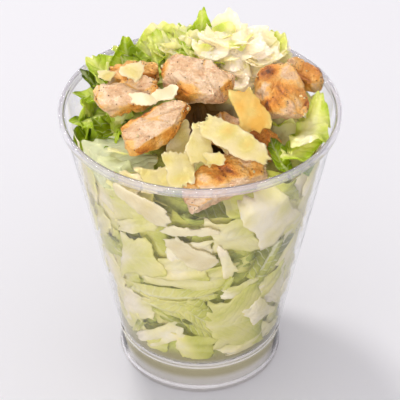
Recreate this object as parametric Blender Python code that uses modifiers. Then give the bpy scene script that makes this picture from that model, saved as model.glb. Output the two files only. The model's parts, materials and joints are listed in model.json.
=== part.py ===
"""Chicken caesar salad heaped in a clear tapered cup, built as closed solids.

The cup is a thin turned shell. The lettuce is one solid: a lumpy core with cut leaves fused
on. Each chicken slice and each parmesan shaving is its own solid resting on the heap.
Sizes and places are in millimetres about the middle of the cup's base. The side that the
photograph shows faces -Y.
"""

import bmesh
import bpy
import numpy as np
from mathutils import Vector
from mathutils.bvhtree import BVHTree

COLLECTION_NAME = "chicken_caesar_salad"
MM = 0.001

# Cup
RIM_RADIUS = 49.0
CUP_HEIGHT = 108.2
WALL_TOP_RADIUS = 47.4
WALL_TOP_HEIGHT = 105.2
WALL_FOOT_RADIUS = 31.2
WALL_FOOT_HEIGHT = 16.2
WALL = 0.6
STEP_RADIUS = 29.7
FLOOR_TOP = 13.2
FLOOR_UNDERSIDE = 12.6
GROOVE_HEIGHT = 9.2
FOOT_RADIUS = 30.25
CUP_SIDES = 44

# Lettuce core
CORE_GAP = 1.2
CORE_BASE = FLOOR_TOP + 0.35
CORE_SHOULDER = 91.0
CORE_SIDES = 36
CORE_SIDE_ROWS = 6
CORE_TOP_ROWS = 10
HEAP_EDGE = 96.5
HEAP_CROWN = 15.0
HEAP_RADIUS = 44.0
HEAP_SLOPE = 4.0
RIDGE_HEIGHT = 9.0
RIDGE_CENTRE = (4.0, 25.0)
RIDGE_SPREAD = (30.0, 13.0)
DEEPEST_DIP = 83.0
TOPPING_GAP = 0.6
TOPPING_REACH = 3.4
SIDE_REACH = 13.0
SIDE_DIP = 0.8

# Lettuce leaves
LEAF_THICKNESS = 0.8
LEAF_ROWS = 6
LEAF_COLUMNS = 4
WALL_LEAF_ROWS = 5
WALL_LEAF_COLUMNS = 3
WALL_LEAF_DEPTH = 1.9
WALL_GAP = 0.35

# Toppings
CHICKEN_ROWS = 9
CHICKEN_SIDES = 14
SHAVING_THICKNESS = 0.9
SHAVING_ROWS = 6
SHAVING_COLUMNS = 4

# Chicken slices: place, (yaw, pitch, roll), (length, width, thickness), slant, taper, bend, seed
CHICKEN = {
    "chicken_left_front": ((-25.4, -2.0, 113.4), (-15, 12, 35), (25, 11, 7.5), 0.15, 0.10, 1.0, 11),
    "chicken_left_back": ((-23.8, 9.0, 114.2), (-8, 16, 20), (20, 9, 7), -0.2, 0.12, 0.8, 12),
    "chicken_front_left": ((-14.2, -17.6, 111.8), (35, 18, 20), (26, 11, 8), 0.2, -0.10, 0.8, 13),
    "chicken_top": ((-0.8, 0.2, 118.4), (-20, -2, 18), (26, 15, 11), -0.2, 0.06, 1.0, 14),
    "chicken_middle": ((14.0, -13.5, 103.6), (-24, -16, 15), (28, 12, 8.5), 0.2, 0.0, 0.8, 15),
    "chicken_front": ((8.2, -32.6, 100.3), (31, 12, 22), (31, 14, 11), 0.1, 0.0, 0.8, 16),
    "chicken_right": ((27.7, -1.0, 113.5), (-78, -8, -5), (26, 17, 11), 0.1, 0.08, 1.0, 17),
    "chicken_right_back": ((36.2, 15.2, 109.6), (-37, -6, 20), (16, 10, 7.5), 0.1, -0.25, 0.6, 18),
}

# Shavings on the heap: place, (yaw, pitch, roll), (length, width), taper, curl, seed
SHAVINGS = {
    "cheese_tongue": ((16.4, -15.5, 117.0), (-72, -24, 0), (18, 10.5), 0.15, -25, 31),
    "cheese_long": ((11.7, -27.6, 113.2), (-19, -17, 32), (26, 9), -0.15, -12, 32),
    "cheese_flake": ((-18.8, -9.4, 117.0), (-8, 10, 25), (11, 4.6), 0.1, 15, 33),
    "cheese_tip": ((-11.5, -10.8, 120.2), (8, 6, 25), (8, 5), -0.1, 20, 34),
    "cheese_triangle": ((-22.2, 0.6, 122.0), (53, 12, 15), (8, 6), -0.5, 10, 35),
    "cheese_crumb": ((-32.5, 6.8, 115.8), (-28, 14, 20), (6, 4), 0.2, 10, 36),
    "cheese_left_slab": ((-7.8, -18.0, 105.7), (95, 28, -14), (15, 9), 0.1, 15, 37),
    "cheese_right_slab": ((0.4, -27.8, 111.5), (85, 28, 14), (16, 8.5), 0.1, -15, 38),
    "cheese_square": ((-6.6, -35.2, 106.6), (115, 24, 0), (13, 10), 0.1, 15, 39),
    "cheese_front": ((-15.0, -34.6, 102.2), (10, 6, 34), (10.5, 9), -0.1, 12, 40),
    "cheese_front_left": ((-23.0, -32.4, 99.6), (-25, -6, 30), (8, 7), 0.2, 12, 41),
    "cheese_small": ((4.4, -33.6, 109.6), (12, 4, 28), (7, 5), 0.1, 15, 42),
    "cheese_strip": ((7.2, -24.2, 110.6), (-52, -20, 30), (11, 3.6), 0.1, 12, 43),
}

# Shavings at the wall: angle, height, lean, (length, width), seed
WALL_SHAVINGS = {
    "cheese_wall_high": (-117.0, 94.8, -24, (20, 8.5), 51),
    "cheese_wall_middle": (-95.5, 86.0, 4, (19, 4.4), 52),
    "cheese_wall_low": (-94.5, 74.5, -42, (20, 8.5), 53),
}

# Leaves on the heap: place, (yaw, pitch, roll), (length, width, curl, cup, twist, ruffle, waves), seed
LEAVES = (
    ((-25.4, 21.6, 110.0), (110, 56, 0), (21, 16, 60, 50, 15, 1.6, 1.6), 101),
    ((-13.5, 26.0, 112.0), (95, 56, 0), (25, 21, 45, 30, 10, 2.0, 1.5), 102),
    ((-1.5, 21.5, 113.8), (80, 46, 0), (20, 14, 50, 40, 25, 2.0, 1.7), 103),
    ((0.5, 28.5, 114.6), (88, 62, 0), (24, 10, 30, 50, 20, 1.8, 1.6), 104),
    ((9.5, 30.0, 114.0), (80, 58, 0), (24, 16, 40, 40, -15, 2.0, 1.7), 105),
    ((9.0, 23.5, 113.2), (-20, 6, 38), (20, 11, 20, -30, 10, 0.8, 1.2), 106),
    ((18.0, 21.5, 112.2), (12, -4, 42), (20, 11, 15, -30, 10, 0.8, 1.2), 107),
    ((12.5, 15.5, 111.6), (-8, 4, 40), (20, 10, 20, -25, 0, 0.8, 1.2), 108),
    ((16.5, 29.0, 114.5), (20, 12, 40), (22, 12, 20, -20, 10, 1.2, 1.4), 109),
    ((24.5, 27.4, 110.8), (-25, -12, 40), (19, 11, 25, -20, 0, 1.0, 1.3), 110),
    ((26.5, 29.5, 109.4), (70, 46, 0), (19, 13, 50, 40, 10, 2.0, 1.6), 111),
    ((38.0, -9.0, 106.2), (70, 6, -10), (28, 13, 40, -35, 10, 1.8, 1.6), 112),
    ((34.2, -18.7, 103.2), (46, -6, 6), (21, 10, 30, 20, 15, 1.4, 1.6), 113),
    ((26.6, -23.6, 102.8), (118, 22, 0), (15, 6.5, 20, 40, 10, 0.8, 1.4), 114),
    ((-34.8, 14.0, 105.4), (150, 22, 0), (19, 9, 40, 60, 15, 1.2, 1.6), 116),
    ((-34.6, 8.9, 105.0), (172, -4, 8), (20, 10, 30, 50, 10, 1.4, 1.6), 117),
    ((-32.5, -0.3, 103.2), (192, -12, 5), (24, 18, 30, -30, 15, 2.2, 1.6), 118),
    ((-27.0, -3.0, 102.4), (250, -10, 0), (20, 14, 30, 30, 10, 1.6, 1.6), 119),
    ((-32.2, -11.0, 101.5), (232, -14, 10), (21, 12, 30, 30, 15, 1.8, 1.6), 120),
    ((-26.2, -22.2, 100.6), (-40, -6, 22), (30, 20, 25, -20, 10, 1.4, 1.3), 121),
    ((-32.6, 20.8, 106.6), (140, 24, 0), (20, 14, 40, 40, 10, 1.4, 1.5), 122),
    ((-28.0, -26.6, 97.8), (-45, -8, 24), (19, 11, 20, 20, 10, 1.2, 1.4), 125),
    ((18.9, 33.4, 107.5), (50, 10, -14), (20, 13, 30, 30, 10, 1.6, 1.5), 126),
    ((4.0, 37.6, 107.3), (100, 12, 0), (20, 14, 40, 30, 10, 1.6, 1.5), 127),
    ((-11.6, 34.8, 107.0), (125, 8, 10), (20, 14, 30, 30, 10, 1.6, 1.5), 128),
    ((31.1, 19.8, 102.8), (30, 8, 0), (18, 11, 30, 30, 10, 1.4, 1.5), 129),
    ((39.0, 3.0, 103.4), (85, 0, -8), (20, 11, 30, 20, 10, 1.4, 1.5), 130),
)

# Leaves at the wall on the side that the photograph shows: angle, height, lean, length, width, seed
FRONT_WALL_LEAVES = (
    (-121, 69, -10, 22, 16, 201),
    (-52, 76, 62, 27, 18, 202),
    (-74, 82, 20, 15, 9, 203),
    (-102, 44, -24, 25, 13, 204),
    (-64, 56, 58, 22, 11, 205),
    (-134, 26, 20, 14, 10, 206),
    (-96, 26, 10, 22, 10, 207),
    (-58, 25, 20, 22, 10, 208),
    (-60, 38, 35, 18, 8, 209),
    (-82, 58, -30, 20, 11, 210),
    (-130, 47, 30, 19, 12, 211),
    (-146, 84, -60, 20, 12, 212),
    (-32, 50, 70, 22, 11, 213),
)

# Leaves at the wall on the other side, in rows
BACK_LEAF_HEIGHTS = (34.0, 66.0)
BACK_LEAF_ANGLES = (0.0, 34.0, 68.0, 102.0, 136.0, 170.0)
BACK_LEAF_SIZE = (26.0, 15.0)
BACK_LEAF_LEAN = 35.0


def ripple(points, wavelength, seed, terms=6):
    """Smooth noise of about unit height at each point: a sum of waves that run every way."""
    draw = np.random.default_rng(seed)
    directions = draw.normal(size=(terms, 3))
    directions /= np.linalg.norm(directions, axis=1)[:, None]
    phases = draw.uniform(0.0, 2.0 * np.pi, terms)
    turns = points @ directions.T * (2.0 * np.pi / wavelength) + phases
    return np.sin(turns).sum(axis=-1) / np.sqrt(terms)


def wall_radius(z):
    """Inner radius of the cup's wall at a height."""
    slope = (WALL_TOP_RADIUS - WALL_FOOT_RADIUS) / (WALL_TOP_HEIGHT - WALL_FOOT_HEIGHT)
    return WALL_FOOT_RADIUS - WALL + slope * (z - WALL_FOOT_HEIGHT)


def at_wall(angle, side, radius, z):
    """Points at a radius and height, a distance of side round the wall from an angle."""
    theta = np.radians(angle) + side / radius.mean()
    return np.stack((radius * np.cos(theta), radius * np.sin(theta), z), axis=-1)


def material(name, colour, roughness, transmission=0.0):
    """Principled material with a plain colour."""
    made = bpy.data.materials.new(name)
    made.use_nodes = True
    shader = made.node_tree.nodes["Principled BSDF"]
    shader.inputs["Base Color"].default_value = (*colour, 1.0)
    shader.inputs["Roughness"].default_value = roughness
    shader.inputs["Transmission Weight"].default_value = transmission
    made.diffuse_color = (*colour, 1.0)
    return made


def add_object(name, points, faces, finish, collection):
    """Mesh object from points in millimetres."""
    mesh = bpy.data.meshes.new(name)
    mesh.from_pydata((points * MM).tolist(), [], faces)
    mesh.materials.append(finish)
    made = bpy.data.objects.new(name, mesh)
    collection.objects.link(made)
    return made


def set_place(made, place, turns):
    """Roll about X, lift the +X end by the pitch, turn by the yaw about Z, then move."""
    yaw, pitch, roll = np.radians(turns)
    made.location = Vector(place) * MM
    made.rotation_euler = (roll, -pitch, yaw)


def add_rings(name, rings, first_pole, last_pole, finish, collection):
    """Closed surface from rings that run counter-clockwise seen from the last pole."""
    count, sides = rings.shape[:2]
    points = np.concatenate((first_pole[None], rings.reshape(-1, 3), last_pole[None]))
    last = len(points) - 1
    faces = []
    for j in range(sides):
        k = (j + 1) % sides
        faces.append((0, 1 + k, 1 + j))
        for a in range(1 + j, 1 + j + sides * (count - 1), sides):
            b = a - j + k
            faces.append((a, b, b + sides))
            faces.append((a, b + sides, a + sides))
        faces.append((last, last - sides + j, last - sides + k))
    return add_object(name, points, faces, finish, collection)


def add_sheet(name, grid, thickness, finish, collection):
    """Thin plate: a grid of points with thickness, its two faces split into triangles alike."""
    rows, columns = grid.shape[:2]
    faces = []
    for i in range(rows - 1):
        for a in range(i * columns, i * columns + columns - 1):
            faces.append((a, a + columns, a + columns + 1))
            faces.append((a, a + columns + 1, a + 1))
    made = add_object(name, grid.reshape(-1, 3), faces, finish, collection)
    shell = made.modifiers.new("thickness", "SOLIDIFY")
    shell.thickness = thickness * MM
    shell.offset = 0.0
    return made


def cup(collection):
    """Thin turned cup: rolled rim, straight taper, step, skirt and raised floor."""
    inner_top = WALL_TOP_RADIUS - WALL
    inner_foot = WALL_FOOT_RADIUS - WALL
    skirt = STEP_RADIUS - 0.8
    profile = (
        (0.0, FLOOR_TOP),
        (inner_foot - 2.2, FLOOR_TOP),
        (inner_foot - 0.6, FLOOR_TOP + 1.1),
        (inner_foot, WALL_FOOT_HEIGHT),
        (inner_top, WALL_TOP_HEIGHT),
        (inner_top + 0.2, CUP_HEIGHT - 0.7),
        (inner_top + 0.8, CUP_HEIGHT),
        (RIM_RADIUS - 0.7, CUP_HEIGHT),
        (RIM_RADIUS, CUP_HEIGHT - 0.8),
        (RIM_RADIUS, WALL_TOP_HEIGHT + 0.5),
        (RIM_RADIUS - 0.5, WALL_TOP_HEIGHT),
        (WALL_TOP_RADIUS, WALL_TOP_HEIGHT - 0.2),
        (WALL_FOOT_RADIUS, WALL_FOOT_HEIGHT),
        (STEP_RADIUS + 0.5, FLOOR_UNDERSIDE + 0.8),
        (STEP_RADIUS, FLOOR_UNDERSIDE - 0.6),
        (STEP_RADIUS + 0.35, GROOVE_HEIGHT + 0.4),
        (STEP_RADIUS + 0.1, GROOVE_HEIGHT - 0.4),
        (FOOT_RADIUS, 1.6),
        (FOOT_RADIUS, 0.4),
        (FOOT_RADIUS - 0.4, 0.0),
        (FOOT_RADIUS - 1.3, 0.0),
        (FOOT_RADIUS - 1.5, 0.5),
        (skirt - 0.1, GROOVE_HEIGHT - 0.4),
        (skirt, FLOOR_UNDERSIDE - 1.0),
        (skirt - 0.8, FLOOR_UNDERSIDE),
        (0.0, FLOOR_UNDERSIDE),
    )
    corners = [(r * MM, 0.0, z * MM) for r, z in profile]
    mesh = bpy.data.meshes.new("cup")
    mesh.from_pydata(corners, [(i, i + 1) for i in range(len(corners) - 1)], [])
    mesh.materials.append(material("clear_cup", (0.90, 0.92, 0.94), 0.05, 1.0))
    made = bpy.data.objects.new("cup", mesh)
    collection.objects.link(made)
    screw = made.modifiers.new("turn", "SCREW")
    screw.steps = CUP_SIDES
    screw.render_steps = CUP_SIDES
    screw.use_merge_vertices = True
    screw.merge_threshold = 0.00001
    screw.use_normal_calculate = True
    return made


def chicken_rings(size, slant, taper, bend, seed):
    """Rings of a grilled slice: a rounded slab with slanted ends, a bowed middle and an uneven outline."""
    length, width, thickness = size
    along = -np.cos(np.pi * np.arange(1, CHICKEN_ROWS) / CHICKEN_ROWS)[:, None]
    phi = np.arange(CHICKEN_SIDES) * (2.0 * np.pi / CHICKEN_SIDES)
    full = (1.0 - np.abs(along) ** 5.0) ** (1.0 / 3.0)
    across = np.sign(np.cos(phi)) * np.sqrt(np.abs(np.cos(phi)))
    up = np.sign(np.sin(phi)) * np.sqrt(np.abs(np.sin(phi)))
    y = 0.5 * width * full * (1.0 + taper * along) * across
    z = 0.5 * thickness * full * up + bend * (along**2 - 0.4)
    x = 0.5 * length * along + slant * y
    rings = np.stack((x, y, z), axis=-1)
    swell = 1.0 + 0.07 * ripple(rings, 1.1 * width, seed) + 0.045 * ripple(rings, 0.55 * width, seed + 50)
    rings[..., 1:] *= swell[..., None]
    rings[..., 1] += 0.07 * width * np.sin(2.4 * along + 1.7 * seed)
    return rings


def chicken_slice(name, place, turns, size, slant, taper, bend, seed, collection):
    """One grilled slice of breast."""
    end = np.array((0.5 * size[0], 0.0, 0.6 * bend))
    rings = chicken_rings(size, slant, taper, bend, seed)
    finish = material(name, (0.72, 0.42, 0.20), 0.6)
    made = add_rings(name, rings, end * (-1.0, 1.0, 1.0), end, finish, collection)
    made.data.shade_smooth()
    set_place(made, place, turns)
    return made


def shaving_outline(size, taper, seed):
    """Distances along and across a shaving at its grid, with uneven ends and sides."""
    length, width = size
    phases = np.random.default_rng(seed).uniform(0.0, 2.0 * np.pi, 4)
    u = np.linspace(-1.0, 1.0, SHAVING_ROWS)[:, None]
    v = np.linspace(-1.0, 1.0, SHAVING_COLUMNS)[None, :]
    half = 0.5 * width * (1.0 + taper * u) * (1.0 - 0.30 * np.abs(u) ** 3)
    half = half * (1.0 + 0.10 * np.sin(3.1 * u + phases[0]))
    across = half * v + 0.06 * width * np.sin(2.3 * u + phases[1])
    along = 0.5 * length * u * (1.0 - 0.14 * v * v + 0.08 * np.sin(2.2 * v + phases[2]))
    return along, across


def shaving(name, place, turns, size, taper, curl, seed, collection):
    """One thin shaving, curled along its length."""
    along, across = shaving_outline(size, taper, seed)
    bend = np.radians(curl) / size[0]
    grid = np.stack((np.sin(bend * along) / bend, across, (1.0 - np.cos(bend * along)) / bend), axis=-1)
    finish = material(name, (0.90, 0.78, 0.42), 0.5)
    made = add_sheet(name, grid, SHAVING_THICKNESS, finish, collection)
    set_place(made, place, turns)
    return made


def wall_shaving(name, angle, height, lean, size, seed, collection):
    """One shaving caught between the wall and the lettuce, bent to the wall."""
    along, across = shaving_outline(size, 0.0, seed)
    tilt = np.radians(lean)
    side = along * np.cos(tilt) - across * np.sin(tilt)
    z = height + along * np.sin(tilt) + across * np.cos(tilt)
    radius = wall_radius(z) - WALL_GAP - 0.5 * SHAVING_THICKNESS
    finish = material(name, (0.90, 0.80, 0.50), 0.5)
    return add_sheet(name, at_wall(angle, side, radius, z), SHAVING_THICKNESS, finish, collection)


def leaf_grid(length, width, curl, cup_turn, twist, ruffle, waves, seed):
    """Grid of a cut leaf about its middle, with its base at -X and its ruffled sides at +Y and -Y.

    The spine bends by curl and each cross line by cup_turn, the leaf twists along its length,
    all in degrees, and its side edges wave up and down by ruffle.
    """
    phases = np.random.default_rng(seed).uniform(0.0, 2.0 * np.pi, 4)
    u = np.linspace(0.0, 1.0, LEAF_ROWS)[:, None]
    v = np.linspace(-1.0, 1.0, LEAF_COLUMNS)[None, :]
    bend = np.radians(curl) / length
    turn = np.radians(curl) * (u - 0.5)
    spine_x = np.sin(turn) / bend
    spine_z = (1.0 - np.cos(turn)) / bend
    spine_z = spine_z - spine_z.mean()
    half = 0.5 * width * (0.5 + 0.5 * np.sin(np.pi * (0.12 + 0.80 * u)) ** 0.8)
    half = half * (1.0 + 0.12 * np.sin(5.0 * u + phases[0]))
    spread = np.radians(cup_turn)
    side = half * np.sin(spread * v) / spread
    lift = half * (1.0 - np.cos(spread * v)) / spread
    edge_phase = np.where(v < 0.0, phases[1], phases[2])
    lift = lift + ruffle * np.abs(v) ** 1.6 * np.sin(2.0 * np.pi * waves * u + edge_phase)
    lift = lift + 0.35 * ruffle * np.sin(np.pi * waves * u + phases[3])
    lean = np.radians(twist) * (u - 0.5)
    y = side * np.cos(lean) - lift * np.sin(lean)
    up = side * np.sin(lean) + lift * np.cos(lean)
    return np.stack((spine_x - np.sin(turn) * up, y, spine_z + np.cos(turn) * up), axis=-1)


def wall_leaf_grid(angle, height, lean, length, width, seed):
    """Grid of a leaf pressed against the wall."""
    phases = np.random.default_rng(seed).uniform(0.0, 2.0 * np.pi, 3)
    u = np.linspace(-1.0, 1.0, WALL_LEAF_ROWS)[:, None]
    v = np.linspace(-1.0, 1.0, WALL_LEAF_COLUMNS)[None, :]
    across = 0.5 * width * v * (0.55 + 0.45 * np.sqrt(1.0 - u * u))
    along = 0.5 * length * u * (1.0 + 0.1 * np.sin(2.5 * v + phases[0]))
    tilt = np.radians(lean)
    side = along * np.cos(tilt) - across * np.sin(tilt)
    z = np.maximum(height + along * np.sin(tilt) + across * np.cos(tilt), WALL_FOOT_HEIGHT)
    sunk = 0.12 * (1.0 + np.sin(2.6 * u + 1.9 * v + phases[1]))
    radius = wall_radius(z) - WALL_GAP - 0.5 * WALL_LEAF_DEPTH - sunk
    return at_wall(angle, side, radius, z)


def add_leaves(finish, collection):
    """Every leaf that is fused to the core, on the heap and at the wall."""
    for place, turns, shape, seed in LEAVES:
        made = add_sheet(f"leaf_{seed}", leaf_grid(*shape, seed), LEAF_THICKNESS, finish, collection)
        set_place(made, place, turns)
    for row in FRONT_WALL_LEAVES:
        add_sheet(f"leaf_{row[-1]}", wall_leaf_grid(*row), WALL_LEAF_DEPTH, finish, collection)
    for i, height in enumerate(BACK_LEAF_HEIGHTS):
        for j, angle in enumerate(BACK_LEAF_ANGLES):
            seed = 300 + 10 * i + j
            lean = BACK_LEAF_LEAN * ((i + j) % 3 - 1)
            grid = wall_leaf_grid(angle + 14.0 * i, height + 5.0 * (j % 2), lean, *BACK_LEAF_SIZE, seed)
            add_sheet(f"leaf_{seed}", grid, WALL_LEAF_DEPTH, finish, collection)


def heap_height(x, y):
    """Height of the lettuce: a low dome with a ridge of ribs and leaves at the back."""
    dome = HEAP_CROWN * (1.0 - (x * x + y * y) / HEAP_RADIUS**2) + HEAP_SLOPE * y / HEAP_RADIUS
    beside = (x - RIDGE_CENTRE[0]) / RIDGE_SPREAD[0]
    behind = (y - RIDGE_CENTRE[1]) / RIDGE_SPREAD[1]
    return HEAP_EDGE + dome + RIDGE_HEIGHT * np.exp(-(beside**2) - behind**2)


def world_tree(solids):
    """One search tree of all the triangles of some objects, in millimetres."""
    bpy.context.view_layer.update()
    graph = bpy.context.evaluated_depsgraph_get()
    points = []
    faces = []
    for solid in solids:
        shown = solid.evaluated_get(graph)
        mesh = shown.to_mesh()
        first = len(points)
        points += [shown.matrix_world @ vertex.co / MM for vertex in mesh.vertices]
        faces += [[first + i for i in face.vertices] for face in mesh.polygons]
        shown.to_mesh_clear()
    return BVHTree.FromPolygons(points, faces)


def press_down(points, tree):
    """Lower each point until it lies under whatever rests above it or close beside it."""
    angles = np.arange(8) * (np.pi / 4.0)
    ring = np.stack((np.cos(angles), np.sin(angles), 0.0 * angles), axis=1) * TOPPING_REACH
    offsets = np.concatenate((np.zeros((1, 3)), 0.5 * ring, ring))
    for point in points:
        for start in point * (1.0, 1.0, 0.0) + offsets + (0.0, 0.0, DEEPEST_DIP):
            hit = tree.ray_cast(start, (0.0, 0.0, 1.0))[0]
            if hit is not None:
                point[2] = min(point[2], hit.z - TOPPING_GAP)


def core(toppings, wall_toppings, finish, collection):
    """Lumpy body of packed lettuce, pressed in beside the wall's shavings and down under the rest."""
    angle = np.arange(CORE_SIDES) * (2.0 * np.pi / CORE_SIDES)
    ring = np.stack((np.cos(angle), np.sin(angle)), axis=1)
    foot = CORE_BASE + 1.0
    wall_tree = world_tree(wall_toppings)
    rows = []
    for share in (0.5, 0.93):
        flat = ring * (wall_radius(foot) - CORE_GAP) * share
        rows.append(np.column_stack((flat, np.full(CORE_SIDES, CORE_BASE))))
    for z in np.linspace(foot + 1.5, CORE_SHOULDER, CORE_SIDE_ROWS):
        side = np.column_stack((ring * (wall_radius(z) - CORE_GAP), np.full(CORE_SIDES, z)))
        sunk = np.clip(0.25 + 0.3 * ripple(side, 19.0, 5), 0.0, 0.7)
        beside = [wall_tree.find_nearest(point, SIDE_REACH)[0] is not None for point in side]
        side[:, :2] -= ring * np.where(beside, SIDE_DIP, sunk)[:, None]
        rows.append(side)
    edge = np.linalg.norm(rows[-1][:, :2], axis=1)
    for share in np.linspace(0.96, 0.07, CORE_TOP_ROWS) ** 0.9:
        flat = ring * (edge * share)[:, None]
        top = np.column_stack((flat, heap_height(flat[:, 0], flat[:, 1])))
        top[:, 2] += 1.1 * ripple(top, 13.0, 9)
        rows.append(top)
    rings = np.stack(rows)
    press_down(rings[-CORE_TOP_ROWS - 1 :].reshape(-1, 3), world_tree(toppings))
    crown = np.array((0.0, 0.0, rings[-1, :, 2].min()))
    return add_rings("lettuce", rings, np.array((0.0, 0.0, CORE_BASE)), crown, finish, collection)


def surfaces(mesh):
    """Groups of faces that hang together."""
    unseen = set(mesh.faces)
    while unseen:
        group = [unseen.pop()]
        for face in group:
            for edge in face.edges:
                joined = unseen.intersection(edge.link_faces)
                unseen -= joined
                group.extend(joined)
        yield group


def volume_inside(group):
    """Six times the volume within a closed group of triangles, below zero for a hollow."""
    total = 0.0
    for face in group:
        a, b, c = (vertex.co for vertex in face.verts)
        total += a.dot(b.cross(c))
    return total


def keep_main_body(made):
    """Keep the one outer surface with the most volume, so hollows and loose scraps go."""
    mesh = bmesh.new()
    mesh.from_mesh(made.data)
    bmesh.ops.triangulate(mesh, faces=mesh.faces)
    groups = sorted(surfaces(mesh), key=volume_inside)
    spare = [face for group in groups[:-1] for face in group]
    bmesh.ops.delete(mesh, geom=spare, context="FACES")
    mesh.to_mesh(made.data)
    mesh.free()


def fuse(made, pieces):
    """Join every object of a collection to a solid by one union, then remove them."""
    union = made.modifiers.new("fuse", "BOOLEAN")
    union.operation = "UNION"
    union.operand_type = "COLLECTION"
    union.collection = pieces
    union.solver = "MANIFOLD"
    bpy.context.view_layer.update()
    graph = bpy.context.evaluated_depsgraph_get()
    joined = bpy.data.meshes.new_from_object(made.evaluated_get(graph))
    made.modifiers.clear()
    made.data = joined
    for piece in list(pieces.objects):
        bpy.data.objects.remove(piece)
    bpy.data.collections.remove(pieces)
    keep_main_body(made)


def main():
    """Build the whole salad."""
    for old in list(bpy.data.objects):
        bpy.data.objects.remove(old)
    scene = bpy.context.scene
    salad = bpy.data.collections.new(COLLECTION_NAME)
    scene.collection.children.link(salad)
    cup(salad)

    toppings = [chicken_slice(name, *row, salad) for name, row in CHICKEN.items()]
    toppings += [shaving(name, *row, salad) for name, row in SHAVINGS.items()]
    wall_toppings = [wall_shaving(name, *row, salad) for name, row in WALL_SHAVINGS.items()]

    green = material("lettuce", (0.42, 0.58, 0.14), 0.5)
    heap = core(toppings, wall_toppings, green, salad)
    leaves = bpy.data.collections.new("lettuce_leaves")
    scene.collection.children.link(leaves)
    leaves.hide_render = True
    add_leaves(green, leaves)
    fuse(heap, leaves)


if __name__ == "__main__":
    main()
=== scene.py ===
"""Looks of a chicken caesar salad heaped in a clear tapered cup.

Each class below is one sub-assembly. It holds its sizes in millimetres, works out its surfaces
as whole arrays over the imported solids, and gives them their finish.
"""

from __future__ import annotations

import json
import logging
import math
from dataclasses import dataclass, field
from enum import Enum
from typing import Iterable, Sequence

import bpy
import numpy as np
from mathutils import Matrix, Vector

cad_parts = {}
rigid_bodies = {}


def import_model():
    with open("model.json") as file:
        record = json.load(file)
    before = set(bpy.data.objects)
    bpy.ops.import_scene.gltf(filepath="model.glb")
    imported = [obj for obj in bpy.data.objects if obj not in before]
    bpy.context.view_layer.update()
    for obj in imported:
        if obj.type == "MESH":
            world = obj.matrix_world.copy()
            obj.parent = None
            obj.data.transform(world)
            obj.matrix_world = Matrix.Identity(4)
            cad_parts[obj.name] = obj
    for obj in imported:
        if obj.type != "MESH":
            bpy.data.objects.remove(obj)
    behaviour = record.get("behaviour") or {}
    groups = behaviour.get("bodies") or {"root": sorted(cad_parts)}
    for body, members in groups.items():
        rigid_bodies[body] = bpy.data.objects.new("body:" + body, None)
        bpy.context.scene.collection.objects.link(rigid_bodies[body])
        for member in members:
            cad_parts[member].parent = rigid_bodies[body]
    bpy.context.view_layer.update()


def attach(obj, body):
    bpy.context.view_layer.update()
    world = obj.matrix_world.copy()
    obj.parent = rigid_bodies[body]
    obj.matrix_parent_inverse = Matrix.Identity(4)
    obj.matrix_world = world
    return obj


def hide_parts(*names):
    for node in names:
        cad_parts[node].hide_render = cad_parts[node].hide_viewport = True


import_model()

logging.basicConfig(level=logging.INFO, format="%(message)s")
LOG = logging.getLogger("salad")

Array = np.ndarray
Triple = tuple[float, float, float]
Colour = tuple[float, float, float]
Pair = tuple[float, float]
Band = tuple[float, float, float, float]

MM = 0.001
TURN = 2.0 * np.pi
IN_MM = (1000.0, 1000.0, 1000.0)


def srgb(red: float, green: float, blue: float) -> Colour:
    """Linear colour of an 8-bit display colour, by the display curve.

    Args:
        red, green, blue: display values from 0 to 255.

    Returns:
        The same colour as linear values from 0 to 1.
    """
    shares = np.array((red, green, blue)) / 255.0
    linear = np.where(shares <= 0.04045, shares / 12.92, ((shares + 0.055) / 1.055) ** 2.4)
    return tuple(float(value) for value in linear)


def ripple(points: Array, wavelength: float, seed: int, terms: int = 6) -> Array:
    """Smooth noise of about unit height: a sum of sine waves that run every way.

    Args:
        points: array of places, with the three coordinates last.
        wavelength: length of each wave, in the unit of the places.
        seed: choice of the directions and phases.
        terms: number of waves.

    Returns:
        The height at each place.
    """
    draw = np.random.default_rng(seed)
    directions = draw.normal(size=(terms, 3))
    directions /= np.linalg.norm(directions, axis=1)[:, None]
    phases = draw.uniform(0.0, TURN, terms)
    return np.sin(points @ directions.T * (TURN / wavelength) + phases).sum(axis=-1) / np.sqrt(terms)


def step(low: float, high: float, values: Array) -> Array:
    """Smooth rise from 0 at low to 1 at high: 3t squared less 2t cubed."""
    share = np.clip((values - low) / (high - low), 0.0, 1.0)
    return share * share * (3.0 - 2.0 * share)


def turned(turns: Triple) -> Array:
    """Matrix that rolls about X, lifts the +X end by the pitch and turns by the yaw about Z.

    Args:
        turns: yaw, pitch and roll in degrees.

    Returns:
        A 3 by 3 matrix for column vectors.
    """
    yaw, pitch, roll = np.radians(turns)
    about_z = np.array(((np.cos(yaw), -np.sin(yaw), 0), (np.sin(yaw), np.cos(yaw), 0), (0, 0, 1)))
    about_y = np.array(((np.cos(pitch), 0, -np.sin(pitch)), (0, 1, 0), (np.sin(pitch), 0, np.cos(pitch))))
    about_x = np.array(((1, 0, 0), (0, np.cos(roll), -np.sin(roll)), (0, np.sin(roll), np.cos(roll))))
    return about_z @ about_y @ about_x


def placed(points: Array, place: Triple, turns: Triple) -> Array:
    """Points turned about their own origin and moved to their place."""
    return points @ turned(turns).T + np.array(place)


def grid_normals(grid: Array, closed: bool = False) -> Array:
    """Unit normals of a grid: the cross product of its two directions of travel.

    Args:
        grid: rows by columns by 3 array.
        closed: whether the last column joins the first.

    Returns:
        An array of the same shape.
    """
    down = np.gradient(grid, axis=0)
    if closed:
        over = np.roll(grid, -1, axis=1) - np.roll(grid, 1, axis=1)
    else:
        over = np.gradient(grid, axis=1)
    normals = np.cross(down, over)
    return normals / np.maximum(np.linalg.norm(normals, axis=-1, keepdims=True), 1e-9)


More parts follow.
